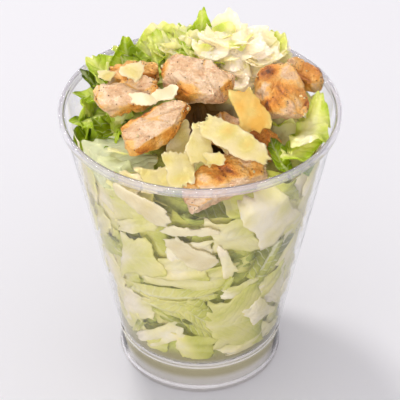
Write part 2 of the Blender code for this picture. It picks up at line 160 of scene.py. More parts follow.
@dataclass(frozen=True)
class Wall:
    """The inside of the cup: a straight taper from its foot to its top."""

    top_radius: float = 46.8
    top_height: float = 105.2
    foot_radius: float = 30.6
    foot_height: float = 16.2

    def radius(self, height: Array) -> Array:
        """Radius of the inner face at a height."""
        slope = (self.top_radius - self.foot_radius) / (self.top_height - self.foot_height)
        return self.foot_radius + slope * (height - self.foot_height)

    def points(self, angle: float, side: Array, height: Array, depth: Array) -> Array:
        """Places at a depth inside the wall.

        Args:
            angle: degrees round the cup's axis.
            side: distance round the wall from that angle.
            height: heights above the table.
            depth: distance in from the wall.

        Returns:
            Places, with the three coordinates last.
        """
        radius = self.radius(height) - depth
        theta = np.radians(angle) + side / radius.mean()
        return np.stack((radius * np.cos(theta), radius * np.sin(theta), height + 0.0 * side), axis=-1)


WALL = Wall()


@dataclass
class Skin:
    """Points, faces and surface values that are gathered for one piece."""

    points: list[Array] = field(default_factory=list)
    quads: list[Array] = field(default_factory=list)
    triangles: list[Array] = field(default_factory=list)
    values: dict[str, list[Array]] = field(default_factory=dict)
    local: list[Array] = field(default_factory=list)
    count: int = 0

    def gather(self, points: Array, local: Array, values: dict[str, Array]) -> int:
        """Take in points, their pattern coordinates and values, and return the first one's number.

        Args:
            points: places, with the three coordinates last.
            local: pattern coordinates of the same shape.
            values: named values, one for each point.

        Returns:
            Number of the first point.
        """
        first = self.count
        flat = points.reshape(-1, 3)
        self.points.append(flat)
        self.local.append(local.reshape(-1, 3))
        for name, value in values.items():
            self.values.setdefault(name, []).append(np.asarray(value, float).reshape(-1))
        self.count += len(flat)
        return first

    def add_plate(self, grid: Array, thickness: float, local: Array, values: dict[str, Array]) -> None:
        """Thin closed plate: the grid moved out both ways along its normals, thinner towards its rim.

        Args:
            grid: middle surface, rows by columns by 3.
            thickness: thickness in the middle.
            local: pattern coordinates on the grid.
            values: named values on the grid.
        """
        rows, columns = grid.shape[:2]
        u = np.linspace(-1.0, 1.0, rows)[:, None]
        v = np.linspace(-1.0, 1.0, columns)[None, :]
        rim_share = np.maximum(np.abs(u), np.abs(v)) ** 8
        offset = grid_normals(grid) * (0.5 * thickness * (1.0 - 0.55 * rim_share))[..., None]
        both = {name: np.stack((value, value)) for name, value in values.items()}
        first = self.gather(np.stack((grid + offset, grid - offset)), np.stack((local, local)), both)
        index = first + np.arange(rows * columns).reshape(rows, columns)
        front = np.stack((index[:-1, :-1], index[1:, :-1], index[1:, 1:], index[:-1, 1:]), axis=-1)
        front = front.reshape(-1, 4)
        rim = np.concatenate((index[:, 0], index[-1, 1:], index[-2::-1, -1], index[0, -2:0:-1]))
        after = np.roll(rim, -1)
        under = rows * columns
        side = np.stack((after, rim, rim + under, after + under), axis=-1)
        self.quads += [front, front[:, ::-1] + under, side]

    def add_rings(
        self, rings: Array, poles: Sequence[Array], local: Array, values: dict[str, Array], flip: bool = False
    ) -> None:
        """Closed body from rings with a pole at each end.

        Args:
            rings: rings by sides by 3 array.
            poles: first and last pole.
            local: pattern coordinates on the rings; the poles take the mean of their ring's.
            values: named values on the rings; the poles take the mean of their ring's.
            flip: whether the rings run clockwise seen from the last pole.
        """
        count, sides = rings.shape[:2]
        points = np.concatenate((poles[0][None], rings.reshape(-1, 3), poles[1][None]))

        def capped(value: Array) -> Array:
            """Values of the first pole, the rings and the last pole."""
            ends = value[0].mean(axis=0, keepdims=True), value[-1].mean(axis=0, keepdims=True)
            return np.concatenate((ends[0], value.reshape(-1, *value.shape[2:]), ends[1]))

        first = self.gather(points, capped(local), {name: capped(value) for name, value in values.items()})
        index = first + 1 + np.arange(count * sides).reshape(count, sides)
        beside = np.roll(index, -1, axis=1)
        quads = np.stack((index[:-1], beside[:-1], beside[1:], index[1:]), axis=-1).reshape(-1, 4)
        last = first + count * sides + 1
        fans = np.concatenate(
            (
                np.stack((np.full(sides, first), beside[0], index[0]), axis=-1),
                np.stack((np.full(sides, last), index[-1], beside[-1]), axis=-1),
            )
        )
        self.quads.append(quads[:, ::-1] if flip else quads)
        self.triangles.append(fans[:, ::-1] if flip else fans)

    def piece(
        self, name: str, finish: bpy.types.Material, slot: str, nodes: Iterable[str] = ()
    ) -> bpy.types.Object:
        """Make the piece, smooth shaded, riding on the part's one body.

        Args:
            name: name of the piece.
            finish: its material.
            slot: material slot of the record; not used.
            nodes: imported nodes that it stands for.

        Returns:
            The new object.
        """
        mesh = bpy.data.meshes.new(name)
        points = np.concatenate(self.points) * MM
        quads = np.concatenate(self.quads) if self.quads else np.zeros((0, 4), int)
        triangles = np.concatenate(self.triangles) if self.triangles else np.zeros((0, 3), int)
        corners = np.concatenate((quads.ravel(), triangles.ravel()))
        starts = np.concatenate((np.arange(len(quads)) * 4, 4 * len(quads) + np.arange(len(triangles)) * 3))
        mesh.vertices.add(len(points))
        mesh.vertices.foreach_set("co", points.ravel())
        mesh.loops.add(len(corners))
        mesh.loops.foreach_set("vertex_index", corners.astype(np.int32))
        mesh.polygons.add(len(starts))
        mesh.polygons.foreach_set("loop_start", starts.astype(np.int32))
        mesh.polygons.foreach_set("use_smooth", np.ones(len(starts), bool))
        for value_name, parts in self.values.items():
            made = mesh.attributes.new(value_name, "FLOAT", "POINT")
            made.data.foreach_set("value", np.concatenate(parts))
        made = mesh.attributes.new("local", "FLOAT_VECTOR", "POINT")
        made.data.foreach_set("vector", np.concatenate(self.local).ravel())
        mesh.update(calc_edges=True)
        mesh.validate()
        mesh.materials.append(finish)
        piece = bpy.data.objects.new(name, mesh)
        bpy.context.scene.collection.objects.link(piece)
        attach(piece, "root")
        if nodes:
            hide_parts(*nodes)
        LOG.info("%s: %d points, %d faces", name, len(points), len(starts))
        return piece


class Tree:
    """A node tree of a material or a group, with short calls that add nodes and join them."""

    def __init__(self, tree: bpy.types.NodeTree) -> None:
        """Start from an empty tree."""
        self.tree = tree
        tree.nodes.clear()

    def add(self, kind: str, **settings: object) -> bpy.types.Node:
        """Add a node of a kind, with its settings."""
        node = self.tree.nodes.new(kind)
        for name, value in settings.items():
            setattr(node, name, value)
        return node

    def feed(self, socket: bpy.types.NodeSocket, value: object) -> None:
        """Join an output to a socket, or set its plain value.

        Args:
            socket: the socket.
            value: another node's output, a number, a vector or a colour.
        """
        if isinstance(value, bpy.types.NodeSocket):
            self.tree.links.new(value, socket)
        elif isinstance(value, tuple) and len(value) == 3 and socket.type == "RGBA":
            socket.default_value = (*value, 1.0)
        else:
            socket.default_value = value

    def maths(self, operation: str, *values: object, clamp: bool = False) -> bpy.types.NodeSocket:
        """Result of a sum on one, two or three values.

        Args:
            operation: name of the sum.
            values: its one to three values.
            clamp: whether it is kept from 0 to 1.

        Returns:
            The output.
        """
        node = self.add("ShaderNodeMath", operation=operation, use_clamp=clamp)
        for socket, value in zip(node.inputs, values):
            self.feed(socket, value)
        return node.outputs[0]

    def mix(self, factor: object, first: object, second: object, blend: str = "MIX") -> bpy.types.NodeSocket:
        """Colour between two colours.

        Args:
            factor: share of the second colour.
            first: first colour.
            second: second colour.
            blend: how they are mixed.

        Returns:
            The output.
        """
        node = self.add("ShaderNodeMix", data_type="RGBA", blend_type=blend)
        self.feed(node.inputs[0], factor)
        self.feed(node.inputs[6], first)
        self.feed(node.inputs[7], second)
        return node.outputs[2]

    def ramp(self, value: object, stops: Sequence[tuple[float, Colour]]) -> bpy.types.NodeSocket:
        """Colour that runs through stops as a value rises.

        Args:
            value: the value.
            stops: place and colour of each stop.

        Returns:
            The output.
        """
        node = self.add("ShaderNodeValToRGB")
        elements = node.color_ramp.elements
        while len(elements) < len(stops):
            elements.new(0.5)
        for element, (place, colour) in zip(elements, stops):
            element.position = place
            element.color = (*colour, 1.0)
        self.feed(node.inputs[0], value)
        return node.outputs[0]

    def rise(self, value: object, low: float, high: float) -> bpy.types.NodeSocket:
        """Smooth rise from 0 at low to 1 at high."""
        node = self.add("ShaderNodeMapRange", interpolation_type="SMOOTHSTEP")
        for socket, number in zip(node.inputs, (value, low, high, 0.0, 1.0)):
            self.feed(socket, number)
        return node.outputs[0]

    def attribute(self, name: str, output: str = "Fac") -> bpy.types.NodeSocket:
        """Value that the piece carries at its points."""
        return self.add("ShaderNodeAttribute", attribute_name=name).outputs[output]

    def noise(
        self, vector: object, scale: object, detail: float = 2.0, roughness: float = 0.5
    ) -> bpy.types.NodeSocket:
        """Cloudy noise from 0 to 1.

        Args:
            vector: its coordinates.
            scale: how fine it is.
            detail: number of finer layers.
            roughness: strength of the finer layers.

        Returns:
            The output.
        """
        node = self.add("ShaderNodeTexNoise")
        self.feed(node.inputs["Vector"], vector)
        self.feed(node.inputs["Scale"], scale)
        self.feed(node.inputs["Detail"], detail)
        self.feed(node.inputs["Roughness"], roughness)
        return node.outputs[0]

    def place(
        self, stretch: Triple = (1.0, 1.0, 1.0), turn: Triple = (0.0, 0.0, 0.0), own: bool = False
    ) -> bpy.types.NodeSocket:
        """Object coordinates, or the piece's own pattern coordinates, turned and stretched.

        Args:
            stretch: factor on each axis.
            turn: turn about each axis, in radians.
            own: whether the piece's own coordinates are used.

        Returns:
            The output.
        """
        if own:
            source = self.attribute("local", "Vector")
        else:
            source = self.add("ShaderNodeTexCoord").outputs["Object"]
        node = self.add("ShaderNodeMapping")
        self.feed(node.inputs["Vector"], source)
        node.inputs["Rotation"].default_value = turn
        node.inputs["Scale"].default_value = stretch
        return node.outputs[0]

    def split(self, vector: object) -> bpy.types.NodeOutputs:
        """The three coordinates of a vector."""
        node = self.add("ShaderNodeSeparateXYZ")
        self.feed(node.inputs[0], vector)
        return node.outputs

    def bump(self, height: object, distance: float, strength: float = 1.0) -> bpy.types.NodeSocket:
        """Normal from a height, with its size in millimetres.

        Args:
            height: the height.
            distance: its size in millimetres.
            strength: share of it that shows.

        Returns:
            The output.
        """
        node = self.add("ShaderNodeBump")
        node.inputs["Strength"].default_value = strength
        node.inputs["Distance"].default_value = distance * MM
        self.feed(node.inputs["Height"], height)
        return node.outputs[0]

    def group(self, group: bpy.types.NodeTree, **values: object) -> bpy.types.Node:
        """Place a node group, with its inputs by name."""
        node = self.add("ShaderNodeGroup", node_tree=group)
        for name, value in values.items():
            self.feed(node.inputs[name.replace("_", " ")], value)
        return node


class FinishTree(Tree):
    """The tree of a new material, with calls for its shaders."""

    def __init__(self, name: str) -> None:
        """Start a material of this name from an empty tree."""
        self.made = bpy.data.materials.new(name)
        self.made.use_nodes = True
        super().__init__(self.made.node_tree)

    def shader(self, kind: str, **values: object) -> bpy.types.NodeSocket:
        """Add a shader, with a plain value or another node's output for each socket by name.

        Args:
            kind: end of the node's name.
            values: values by socket name.

        Returns:
            The shader's output.
        """
        node = self.add(f"ShaderNodeBsdf{kind}")
        for name, value in values.items():
            self.feed(node.inputs[name.replace("_", " ")], value)
        return node.outputs[0]

    def between(
        self, share: object, first: bpy.types.NodeSocket, second: bpy.types.NodeSocket
    ) -> bpy.types.NodeSocket:
        """Shader between two shaders.

        Args:
            share: share of the second shader.
            first: first shader.
            second: second shader.

        Returns:
            The shader's output.
        """
        node = self.add("ShaderNodeMixShader")
        for socket, value in zip(node.inputs, (share, first, second)):
            self.feed(socket, value)
        return node.outputs[0]

    def done(self, shader: bpy.types.NodeSocket) -> bpy.types.Material:
        """Join the last shader to the output, and return the material."""
        self.feed(self.add("ShaderNodeOutputMaterial").inputs["Surface"], shader)
        return self.made


def new_group(name: str, inputs: dict[str, float], outputs: Sequence[str]) -> tuple[bpy.types.NodeTree, Tree]:
    """Empty node group with numbers in and out.

    Args:
        name: its name.
        inputs: name and usual value of each input.
        outputs: names of the outputs.

    Returns:
        The group and its tree.
    """
    group = bpy.data.node_groups.new(name, "ShaderNodeTree")
    for label, value in inputs.items():
        socket = group.interface.new_socket(name=label, in_out="INPUT", socket_type="NodeSocketFloat")
        socket.default_value = value
    for label in outputs:
        group.interface.new_socket(name=label, in_out="OUTPUT", socket_type="NodeSocketFloat")
    return group, Tree(group)


def cloud_group() -> bpy.types.NodeTree:
    """Group for uneven colour: broad and fine noise added together, with its grain for a bump.

    Returns:
        The group.
    """
    group, tree = new_group("uneven", {"Broad": 90.0, "Fine": 600.0, "Share": 0.35}, ("Cloud", "Grain"))
    inside = tree.add("NodeGroupInput")
    outside = tree.add("NodeGroupOutput")
    place = tree.place()
    broad = tree.noise(place, inside.outputs["Broad"], 3.0)
    fine = tree.noise(place, inside.outputs["Fine"], 2.0, 0.6)
    apart = tree.maths("SUBTRACT", fine, broad)
    cloud = tree.maths("MULTIPLY_ADD", apart, inside.outputs["Share"], broad)
    tree.feed(outside.inputs["Cloud"], cloud)
    tree.feed(outside.inputs["Grain"], fine)
    return group


def vein_group() -> bpy.types.NodeTree:
    """Group for the veins of a leaf.

    The midrib is where the distance across is near zero. Side veins branch off it: lines where
    the distance along less most of the distance across passes a multiple of their spacing.

    Returns:
        The group.
    """
    group, tree = new_group("veins", {"Spacing": 3.4, "Width": 0.22}, ("Vein", "Pucker"))
    inside = tree.add("NodeGroupInput")
    outside = tree.add("NodeGroupOutput")
    place = tree.place(own=True)
    bent = tree.add("ShaderNodeVectorMath", operation="ADD")
    wander = tree.add("ShaderNodeTexNoise")
    wander.inputs["Scale"].default_value = 0.35
    tree.feed(wander.inputs["Vector"], place)
    spread = tree.add("ShaderNodeVectorMath", operation="SCALE")
    tree.feed(spread.inputs[0], wander.outputs[1])
    spread.inputs["Scale"].default_value = 2.2
    tree.feed(bent.inputs[0], place)
    tree.feed(bent.inputs[1], spread.outputs[0])
    along, beside, _ = tree.split(bent.outputs[0])
    across = tree.maths("ABSOLUTE", tree.maths("SUBTRACT", beside, 1.1))
    slanted = tree.maths("MULTIPLY_ADD", across, -0.85, along)
    wave = tree.maths("PINGPONG", slanted, tree.maths("MULTIPLY", inside.outputs["Spacing"], 0.5))
    branch_share = tree.maths("DIVIDE", wave, inside.outputs["Width"])
    rib_share = tree.maths("DIVIDE", across, inside.outputs["Width"])
    branch = tree.maths("SUBTRACT", 1.0, tree.rise(branch_share, 0.2, 1.4))
    rib = tree.maths("SUBTRACT", 1.0, tree.rise(rib_share, 0.8, 3.0))
    tree.feed(outside.inputs["Vein"], tree.maths("MAXIMUM", rib, tree.maths("MULTIPLY", branch, 0.65)))
    tree.feed(outside.inputs["Pucker"], tree.rise(wave, 0.0, 1.2))
    return group


class Effects:
    """The node groups that several finishes share, each built once."""

    def __init__(self) -> None:
        """Build the groups."""
        self.cloud = cloud_group()
        self.veins = vein_group()


@dataclass(frozen=True)
class LeafFinish:
    """Moist lettuce leaf: cream at its rib to dark green at its margin, with light passing through."""

    name: str
    stops: tuple[tuple[float, Colour], ...]
    vein_colour: Colour
    # Painted shade: a darker grey-green, mixed into the leaves that carry a share of it.
    watery: Colour = srgb(216, 220, 186)
    vein_share: float = 0.5
    through: float = 0.4
    glow: float = 1.25
    roughness: float = 0.42
    shine: float = 0.26
    relief: float = 0.35

    def material(self, effects: Effects) -> bpy.types.Material:
        """Build the material.

        Args:
            effects: the shared node groups.

        Returns:
            The material.
        """
        tree = FinishTree(self.name)
        cloud = tree.group(effects.cloud, Broad=110.0, Fine=520.0, Share=0.4)
        veins = tree.group(effects.veins, Spacing=3.2, Width=0.24)
        veined = tree.attribute("veined")
        swing = tree.maths("SUBTRACT", cloud.outputs["Cloud"], 0.5)
        tone = tree.maths("MULTIPLY_ADD", swing, 0.55, tree.attribute("tone"))
        # Painted shade: towards the darker grey-green by the leaf's share.
        colour = tree.mix(tree.attribute("watery"), tree.ramp(tone, self.stops), self.watery)
        pale = tree.maths("MULTIPLY", tree.maths("MULTIPLY", veins.outputs["Vein"], self.vein_share), veined)
        colour = tree.mix(pale, colour, self.vein_colour)
        pucker = tree.maths("MULTIPLY", veins.outputs["Pucker"], veined)
        height = tree.maths("MULTIPLY_ADD", pucker, 0.8, tree.maths("MULTIPLY", cloud.outputs["Grain"], 0.5))
        normal = tree.bump(height, self.relief, 0.8)
        surface = tree.shader(
            "Principled", Base_Color=colour, Roughness=self.roughness, Specular_IOR_Level=self.shine, Normal=normal
        )
        lit = tree.mix(1.0, colour, (self.glow, self.glow, self.glow), "MULTIPLY")
        through = tree.shader("Translucent", Color=lit, Normal=normal)
        return tree.done(tree.between(self.through, surface, through))


LEAF_STOPS = (
    (0.0, srgb(255, 248, 240)),
    (0.22, srgb(250, 245, 212)),
    (0.46, srgb(230, 234, 138)),
    (0.62, srgb(198, 216, 68)),
    (0.80, srgb(146, 170, 10)),
    (1.0, srgb(86, 106, 2)),
)

# Painted light: paler leaf colours than the heap's, for the leaves at the wall, which lie in less light behind the
# plastic.
PRESSED_PAINTED_LIGHT_STOPS = (
    (0.0, srgb(255, 249, 236)),
    (0.22, srgb(249, 243, 206)),
    (0.46, srgb(240, 236, 162)),
    (0.66, srgb(222, 222, 118)),
    (0.86, srgb(184, 186, 80)),
    (1.0, srgb(138, 140, 52)),
)

LEAF = LeafFinish("lettuce_leaf", LEAF_STOPS, srgb(246, 246, 204), vein_share=0.35, through=0.46, glow=1.34)
PRESSED_PAINTED_LIGHT = LeafFinish("pressed_lettuce_painted_lighter", PRESSED_PAINTED_LIGHT_STOPS, srgb(250, 247, 222), through=0.5, glow=1.2, relief=0.25)


@dataclass(frozen=True)
class CoreFinish:
    """Packed lettuce between the leaves: cream at the right, with painted shade, brown under the slices and dull olive
    near the floor.
    """

    light: Colour = srgb(196, 200, 104)
    dark: Colour = srgb(138, 144, 58)
    cream: Colour = srgb(232, 226, 168)
    # Painted shade: dull olive low down, where the core meets the shaded floor of the cup.
    low: Colour = srgb(146, 138, 98)
    # Painted shade: dark brown on the top of the core under the slices.
    shade: Colour = srgb(98, 68, 18)
    shade_reach: tuple[float, float] = (17.0, 15.0)
    shade_forward: float = 11.0
    roughness: float = 0.6

    def material(self, effects: Effects) -> bpy.types.Material:
        """Build the material from the shared groups.

        Args:
            effects: the shared node groups.

        Returns:
            The material.
        """
        tree = FinishTree("packed_lettuce")
        cloud = tree.group(effects.cloud, Broad=160.0, Fine=700.0, Share=0.3).outputs["Cloud"]
        colour = tree.mix(tree.rise(cloud, 0.3, 0.7), self.dark, self.light)
        x, y, level = tree.split(tree.place(IN_MM))
        right = tree.maths("MULTIPLY", tree.rise(x, 0.0, 10.0), tree.rise(level, 88.0, 96.0))
        colour = tree.mix(right, colour, self.cream)
        forward = tree.maths("ADD", y, self.shade_forward)
        beside, along = (
            tree.maths("POWER", tree.maths("DIVIDE", value, reach), 2.0)
            for value, reach in zip((x, forward), self.shade_reach)
        )
        # Painted shade under the slices: brown over an oval round the middle, on the top only.
        middle = tree.maths("SUBTRACT", 1.0, tree.rise(tree.maths("ADD", beside, along), 0.5, 1.2))
        colour = tree.mix(tree.maths("MULTIPLY", middle, tree.rise(level, 90.0, 95.0)), colour, self.shade)
        # Painted shade: the core turns dull olive towards the floor.
        colour = tree.mix(tree.rise(level, 16.0, 22.0), self.low, colour)
        normal = tree.bump(cloud, 1.2)
        return tree.done(tree.shader("Principled", Base_Color=colour, Roughness=self.roughness, Normal=normal))


@dataclass(frozen=True)
class ChickenFinish:
    """Grilled breast: pale fibrous flesh, a golden to dark brown crust and peppered spots."""

    flesh: Colour = srgb(214, 177, 136)
    cream: Colour = srgb(233, 205, 173)
    pink: Colour = srgb(205, 156, 114)
    amber: Colour = srgb(230, 178, 98)
    golden: Colour = srgb(214, 142, 52)
    brown: Colour = srgb(174, 96, 32)
    char: Colour = srgb(92, 48, 18)
    roughness: float = 0.42

    def material(self, effects: Effects) -> bpy.types.Material:
        """Build the material.

        Args:
            effects: the shared node groups.

        Returns:
            The material.
        """
        tree = FinishTree("grilled_chicken")
        cloud = tree.group(effects.cloud, Broad=170.0, Fine=1300.0, Share=0.35)
        fibre = tree.noise(tree.place((0.20, 1.0, 1.0), (0.0, 0.0, 0.6), own=True), 1.1, 4.0, 0.65)
        flesh = tree.mix(tree.rise(fibre, 0.35, 0.62), self.pink, self.flesh)
        flesh = tree.mix(tree.rise(cloud.outputs["Cloud"], 0.42, 0.62), flesh, self.cream)
        swing = tree.maths("SUBTRACT", cloud.outputs["Cloud"], 0.5)
        crust = tree.maths("MULTIPLY_ADD", swing, 1.1, tree.attribute("crust"), clamp=True)
        browning = ((0.0, self.flesh), (0.30, self.amber), (0.55, self.golden), (0.82, self.brown), (1.0, self.char))
        colour = tree.mix(tree.rise(crust, 0.08, 0.36), flesh, tree.ramp(crust, browning))
        colour = tree.mix(tree.maths("MULTIPLY", self.dotted(tree, crust), 0.8), colour, self.char)
        height = tree.maths("MULTIPLY_ADD", fibre, 0.7, cloud.outputs["Grain"])
        shader = tree.shader(
            "Principled",
            Base_Color=colour,
            Roughness=self.roughness,
            Specular_IOR_Level=0.5,
            Subsurface_Weight=0.12,
            Subsurface_Radius=(1.0, 0.5, 0.3),
            Subsurface_Scale=0.0012,
            Normal=tree.bump(height, 0.7),
        )
        return tree.done(shader)

    @staticmethod
    def dotted(tree: Tree, crust: bpy.types.NodeSocket) -> bpy.types.NodeSocket:
        """Small charred dots, in patches of the browned part.

        Args:
            tree: the material's tree.
            crust: how browned the flesh is.

        Returns:
            Share of char.
        """
        cells = tree.add("ShaderNodeTexVoronoi")
        cells.inputs["Scale"].default_value = 620.0
        tree.feed(cells.inputs["Vector"], tree.place())
        dot = tree.maths("SUBTRACT", 1.0, tree.rise(cells.outputs["Distance"], 0.10, 0.26))
        patch = tree.rise(tree.noise(tree.place(), 300.0, 1.0), 0.56, 0.66)
        return tree.maths("MULTIPLY", tree.maths("MULTIPLY", dot, patch), tree.rise(crust, 0.1, 0.7))


@dataclass(frozen=True)
class CheeseFinish:
    """Dry parmesan: cream to deep straw yellow, with fine crystals."""

    edge: Colour = srgb(255, 247, 216)
    light: Colour = srgb(246, 234, 196)
    straw: Colour = srgb(236, 222, 140)
    deep: Colour = srgb(244, 196, 88)
    roughness: float = 0.48
    through: float = 0.4

    def material(self, effects: Effects) -> bpy.types.Material:
        """Build the material from the shared groups.

        Args:
            effects: the shared node groups.

        Returns:
            The material.
        """
        tree = FinishTree("parmesan")
        cloud = tree.group(effects.cloud, Broad=140.0, Fine=1500.0, Share=0.4)
        swing = tree.maths("SUBTRACT", cloud.outputs["Cloud"], 0.5)
        tone = tree.maths("MULTIPLY_ADD", swing, 0.5, tree.attribute("tone"), clamp=True)
        colour = tree.ramp(tone, ((0.0, self.edge), (0.2, self.light), (0.55, self.straw), (1.0, self.deep)))
        lines = tree.noise(tree.place((0.15, 1.0, 1.0), own=True), 1.8, 2.0)
        normal = tree.bump(tree.maths("MULTIPLY_ADD", lines, 0.6, cloud.outputs["Grain"]), 0.22)
        surface = tree.shader("Principled", Base_Color=colour, Roughness=self.roughness, Normal=normal)
        return tree.done(tree.between(self.through, surface, tree.shader("Translucent", Color=colour)))


@dataclass(frozen=True)
class PepperFinish:
    """Ground pepper."""

    dark: Colour = srgb(66, 42, 26)
    light: Colour = srgb(132, 84, 48)
    roughness: float = 0.7

    def material(self, effects: Effects) -> bpy.types.Material:
        """Build the material from the shared groups.

        Args:
            effects: the shared node groups.

        Returns:
            The material.
        """
        tree = FinishTree("ground_pepper")
        cloud = tree.group(effects.cloud, Broad=900.0, Fine=2500.0, Share=0.5)
        colour = tree.mix(tree.rise(cloud.outputs["Cloud"], 0.35, 0.7), self.dark, self.light)
        normal = tree.bump(cloud.outputs["Grain"], 0.05)
        return tree.done(tree.shader("Principled", Base_Color=colour, Roughness=self.roughness, Normal=normal))


@dataclass(frozen=True)
class ClearFinish:
    """Clear thin plastic that lets light in to its contents, with painted shade, reflection and highlights in bands.

    Bands are given by four heights: where each starts, is full, is still full and ends.
    """

    tint: Colour = (1.0, 1.0, 1.0)
    # Painted shade: a faint grey over the rim, for the grey band that it shows.
    painted_rim_grey: Colour = (0.94, 0.93, 0.95)
    # Painted reflection and shade: an olive tint on the skirt, for the salad seen in it and the shade under the floor.
    painted_salad_reflection: Colour = (0.62, 0.59, 0.40)
    # Painted shade: dark lines at the rim's top and lower edge and round the foot.
    painted_dark_line_tint: Colour = (0.74, 0.71, 0.74)
    # Painted highlights and reflection: a whitish lit finish mixed into the rim, the step and foot beads and the neck
    # over the floor.
    painted_highlight_grey: Colour = (0.62, 0.60, 0.63)
    painted_highlight_white: Colour = (0.95, 0.93, 0.97)
    painted_highlight: float = 0.15
    painted_highlight_roughness: float = 0.2
    roughness: float = 0.0
    ior: float = 1.35
    rim: tuple[float, float] = (104.8, 105.2)
    rim_top: tuple[float, float] = (107.6, 108.0)
    rim_edge: Band = (104.9, 105.1, 105.5, 106.0)
    foot_line: Band = (-1.0, -0.5, 1.2, 1.8)
    skirt: Band = (5.0, 8.5, 11.2, 12.2)
    step_bead: Band = (11.9, 12.2, 12.45, 12.75)
    foot_bead: Band = (1.6, 2.0, 2.6, 3.2)
    floor_bead: Band = (12.9, 13.3, 15.5, 17.0)

    def material(self, effects: Effects) -> bpy.types.Material:
        """Build the material: glass to the eye, and nearly open to light that falls through it.

        Args:
            effects: the shared node groups.

        Returns:
            The material.
        """
        tree = FinishTree("clear_plastic")
        level = tree.split(tree.place(IN_MM))[2]

        def band(heights: Band) -> bpy.types.NodeSocket:
            """Share that is 1 between two heights, with soft ends."""
            low, start, end, high = heights
            return tree.maths(
                "MULTIPLY", tree.rise(level, low, start), tree.maths("SUBTRACT", 1.0, tree.rise(level, end, high))
            )

        # Painted shade: the rim takes a faint grey.
        rim = tree.rise(level, *self.rim)
        # Painted shade: where the dark lines go.
        lines = tree.maths("MAXIMUM", tree.rise(level, *self.rim_top), band(self.rim_edge))
        lines = tree.maths("MAXIMUM", lines, tree.maths("MULTIPLY", band(self.foot_line), 0.55))
        # Painted reflection and shade of the salad on the skirt.
        body = tree.mix(rim, tree.mix(band(self.skirt), self.tint, self.painted_salad_reflection), self.painted_rim_grey)
        cloud = tree.group(effects.cloud, Broad=60.0, Fine=240.0, Share=0.2).outputs["Cloud"]
        glass = tree.shader(
            "Principled",
            Base_Color=tree.mix(lines, body, self.painted_dark_line_tint),
            Transmission_Weight=1.0,
            IOR=self.ior,
            Roughness=tree.maths("MULTIPLY_ADD", cloud, 0.02, self.roughness),
            Normal=tree.bump(cloud, 0.25, 0.35),
        )
        # Where the painted highlights and reflection go: the step and foot beads, the rim and the neck over the floor.
        painted_highlight_places = tree.maths("MULTIPLY", tree.maths("MAXIMUM", band(self.step_bead), band(self.foot_bead)), 2.6)
        painted_highlight_places = tree.maths("MAXIMUM", painted_highlight_places, rim)
        painted_highlight_places = tree.maths("MAXIMUM", tree.maths("MULTIPLY", band(self.floor_bead), 0.7), painted_highlight_places)
        painted_highlight = tree.shader(
            "Principled", Base_Color=tree.mix(cloud, self.painted_highlight_grey, self.painted_highlight_white), Roughness=self.painted_highlight_roughness
        )
        glass_with_painted_highlight = tree.between(tree.maths("MULTIPLY", painted_highlight_places, self.painted_highlight), glass, painted_highlight)
        in_shadow = tree.add("ShaderNodeLightPath").outputs["Is Shadow Ray"]
        return tree.done(tree.between(in_shadow, glass_with_painted_highlight, tree.shader("Transparent", Color=(1.0, 1.0, 1.0))))


@dataclass
class ClearCup:
    """The thin turned cup with its rolled rim, step, skirt and raised floor."""

    sides: int = 192
    fillet: float = 0.45
    fillet_points: int = 4
    profile: tuple[tuple[float, float], ...] = (
        (0.0, 13.2),
        (28.4, 13.2),
        (30.0, 14.3),
        (30.6, 16.2),
        (46.8, 105.2),
        (46.95, 107.2),
        (47.5, 108.2),
        (48.4, 108.2),
        (49.0, 107.5),
        (49.0, 105.5),
        (48.85, 105.2),
        (48.65, 105.5),
        (48.6, 107.2),
        (48.2, 107.75),
        (47.7, 107.75),
        (47.4, 107.2),
        (47.25, 105.0),
        (31.2, 16.2),
        (30.6, 15.0),
        (29.7, 14.2),
        (29.7, 13.2),
        (30.5, 12.5),
        (30.5, 11.4),
        (29.75, 10.6),
        (29.8, 8.8),
        (29.95, 2.6),
        (30.45, 1.7),
        (30.5, 0.5),
        (30.1, 0.0),
        (29.4, 0.0),
        (29.2, 0.6),
        (29.3, 8.8),
        (29.1, 11.6),
        (28.3, 12.6),
        (0.0, 12.6),
    )

    def rounded(self) -> Array:
        """Profile with each inner corner cut to a short curve.

        Each corner becomes points on the curve (1 - t) squared times a point before it, plus
        2t(1 - t) times the corner, plus t squared times a point after it.

        Returns:
            An array of radius and height.
        """
        corners = np.array(self.profile)
        before = corners[:-2] - corners[1:-1]
        after = corners[2:] - corners[1:-1]
        reach_before = np.minimum(self.fillet / np.linalg.norm(before, axis=1), 0.42)[:, None]
        reach_after = np.minimum(self.fillet / np.linalg.norm(after, axis=1), 0.42)[:, None]
        start = (corners[1:-1] + before * reach_before)[:, None]
        end = (corners[1:-1] + after * reach_after)[:, None]
        t = np.linspace(0.0, 1.0, self.fillet_points)[None, :, None]
        curve = (1 - t) ** 2 * start + 2 * t * (1 - t) * corners[1:-1][:, None] + t * t * end
        return np.concatenate((corners[:1], curve.reshape(-1, 2), corners[-1:]))

    def build(self, effects: Effects) -> bpy.types.Object:
        """Turn the profile round the axis and dress it.

        Args:
            effects: the shared node groups.

        Returns:
            The cup.
        """
        line = self.rounded()
        angle = np.arange(self.sides) * (TURN / self.sides)
        radius, height = line[1:-1, 0][:, None], line[1:-1, 1][:, None]
        rings = np.stack((radius * np.cos(angle), radius * np.sin(angle), height + 0.0 * angle), axis=-1)
        poles = (np.array((0.0, 0.0, line[0, 1])), np.array((0.0, 0.0, line[-1, 1])))
        skin = Skin()
        skin.add_rings(rings, poles, rings, {}, flip=True)
        return skin.piece("clear_cup", ClearFinish().material(effects), "cup", ("cup",))


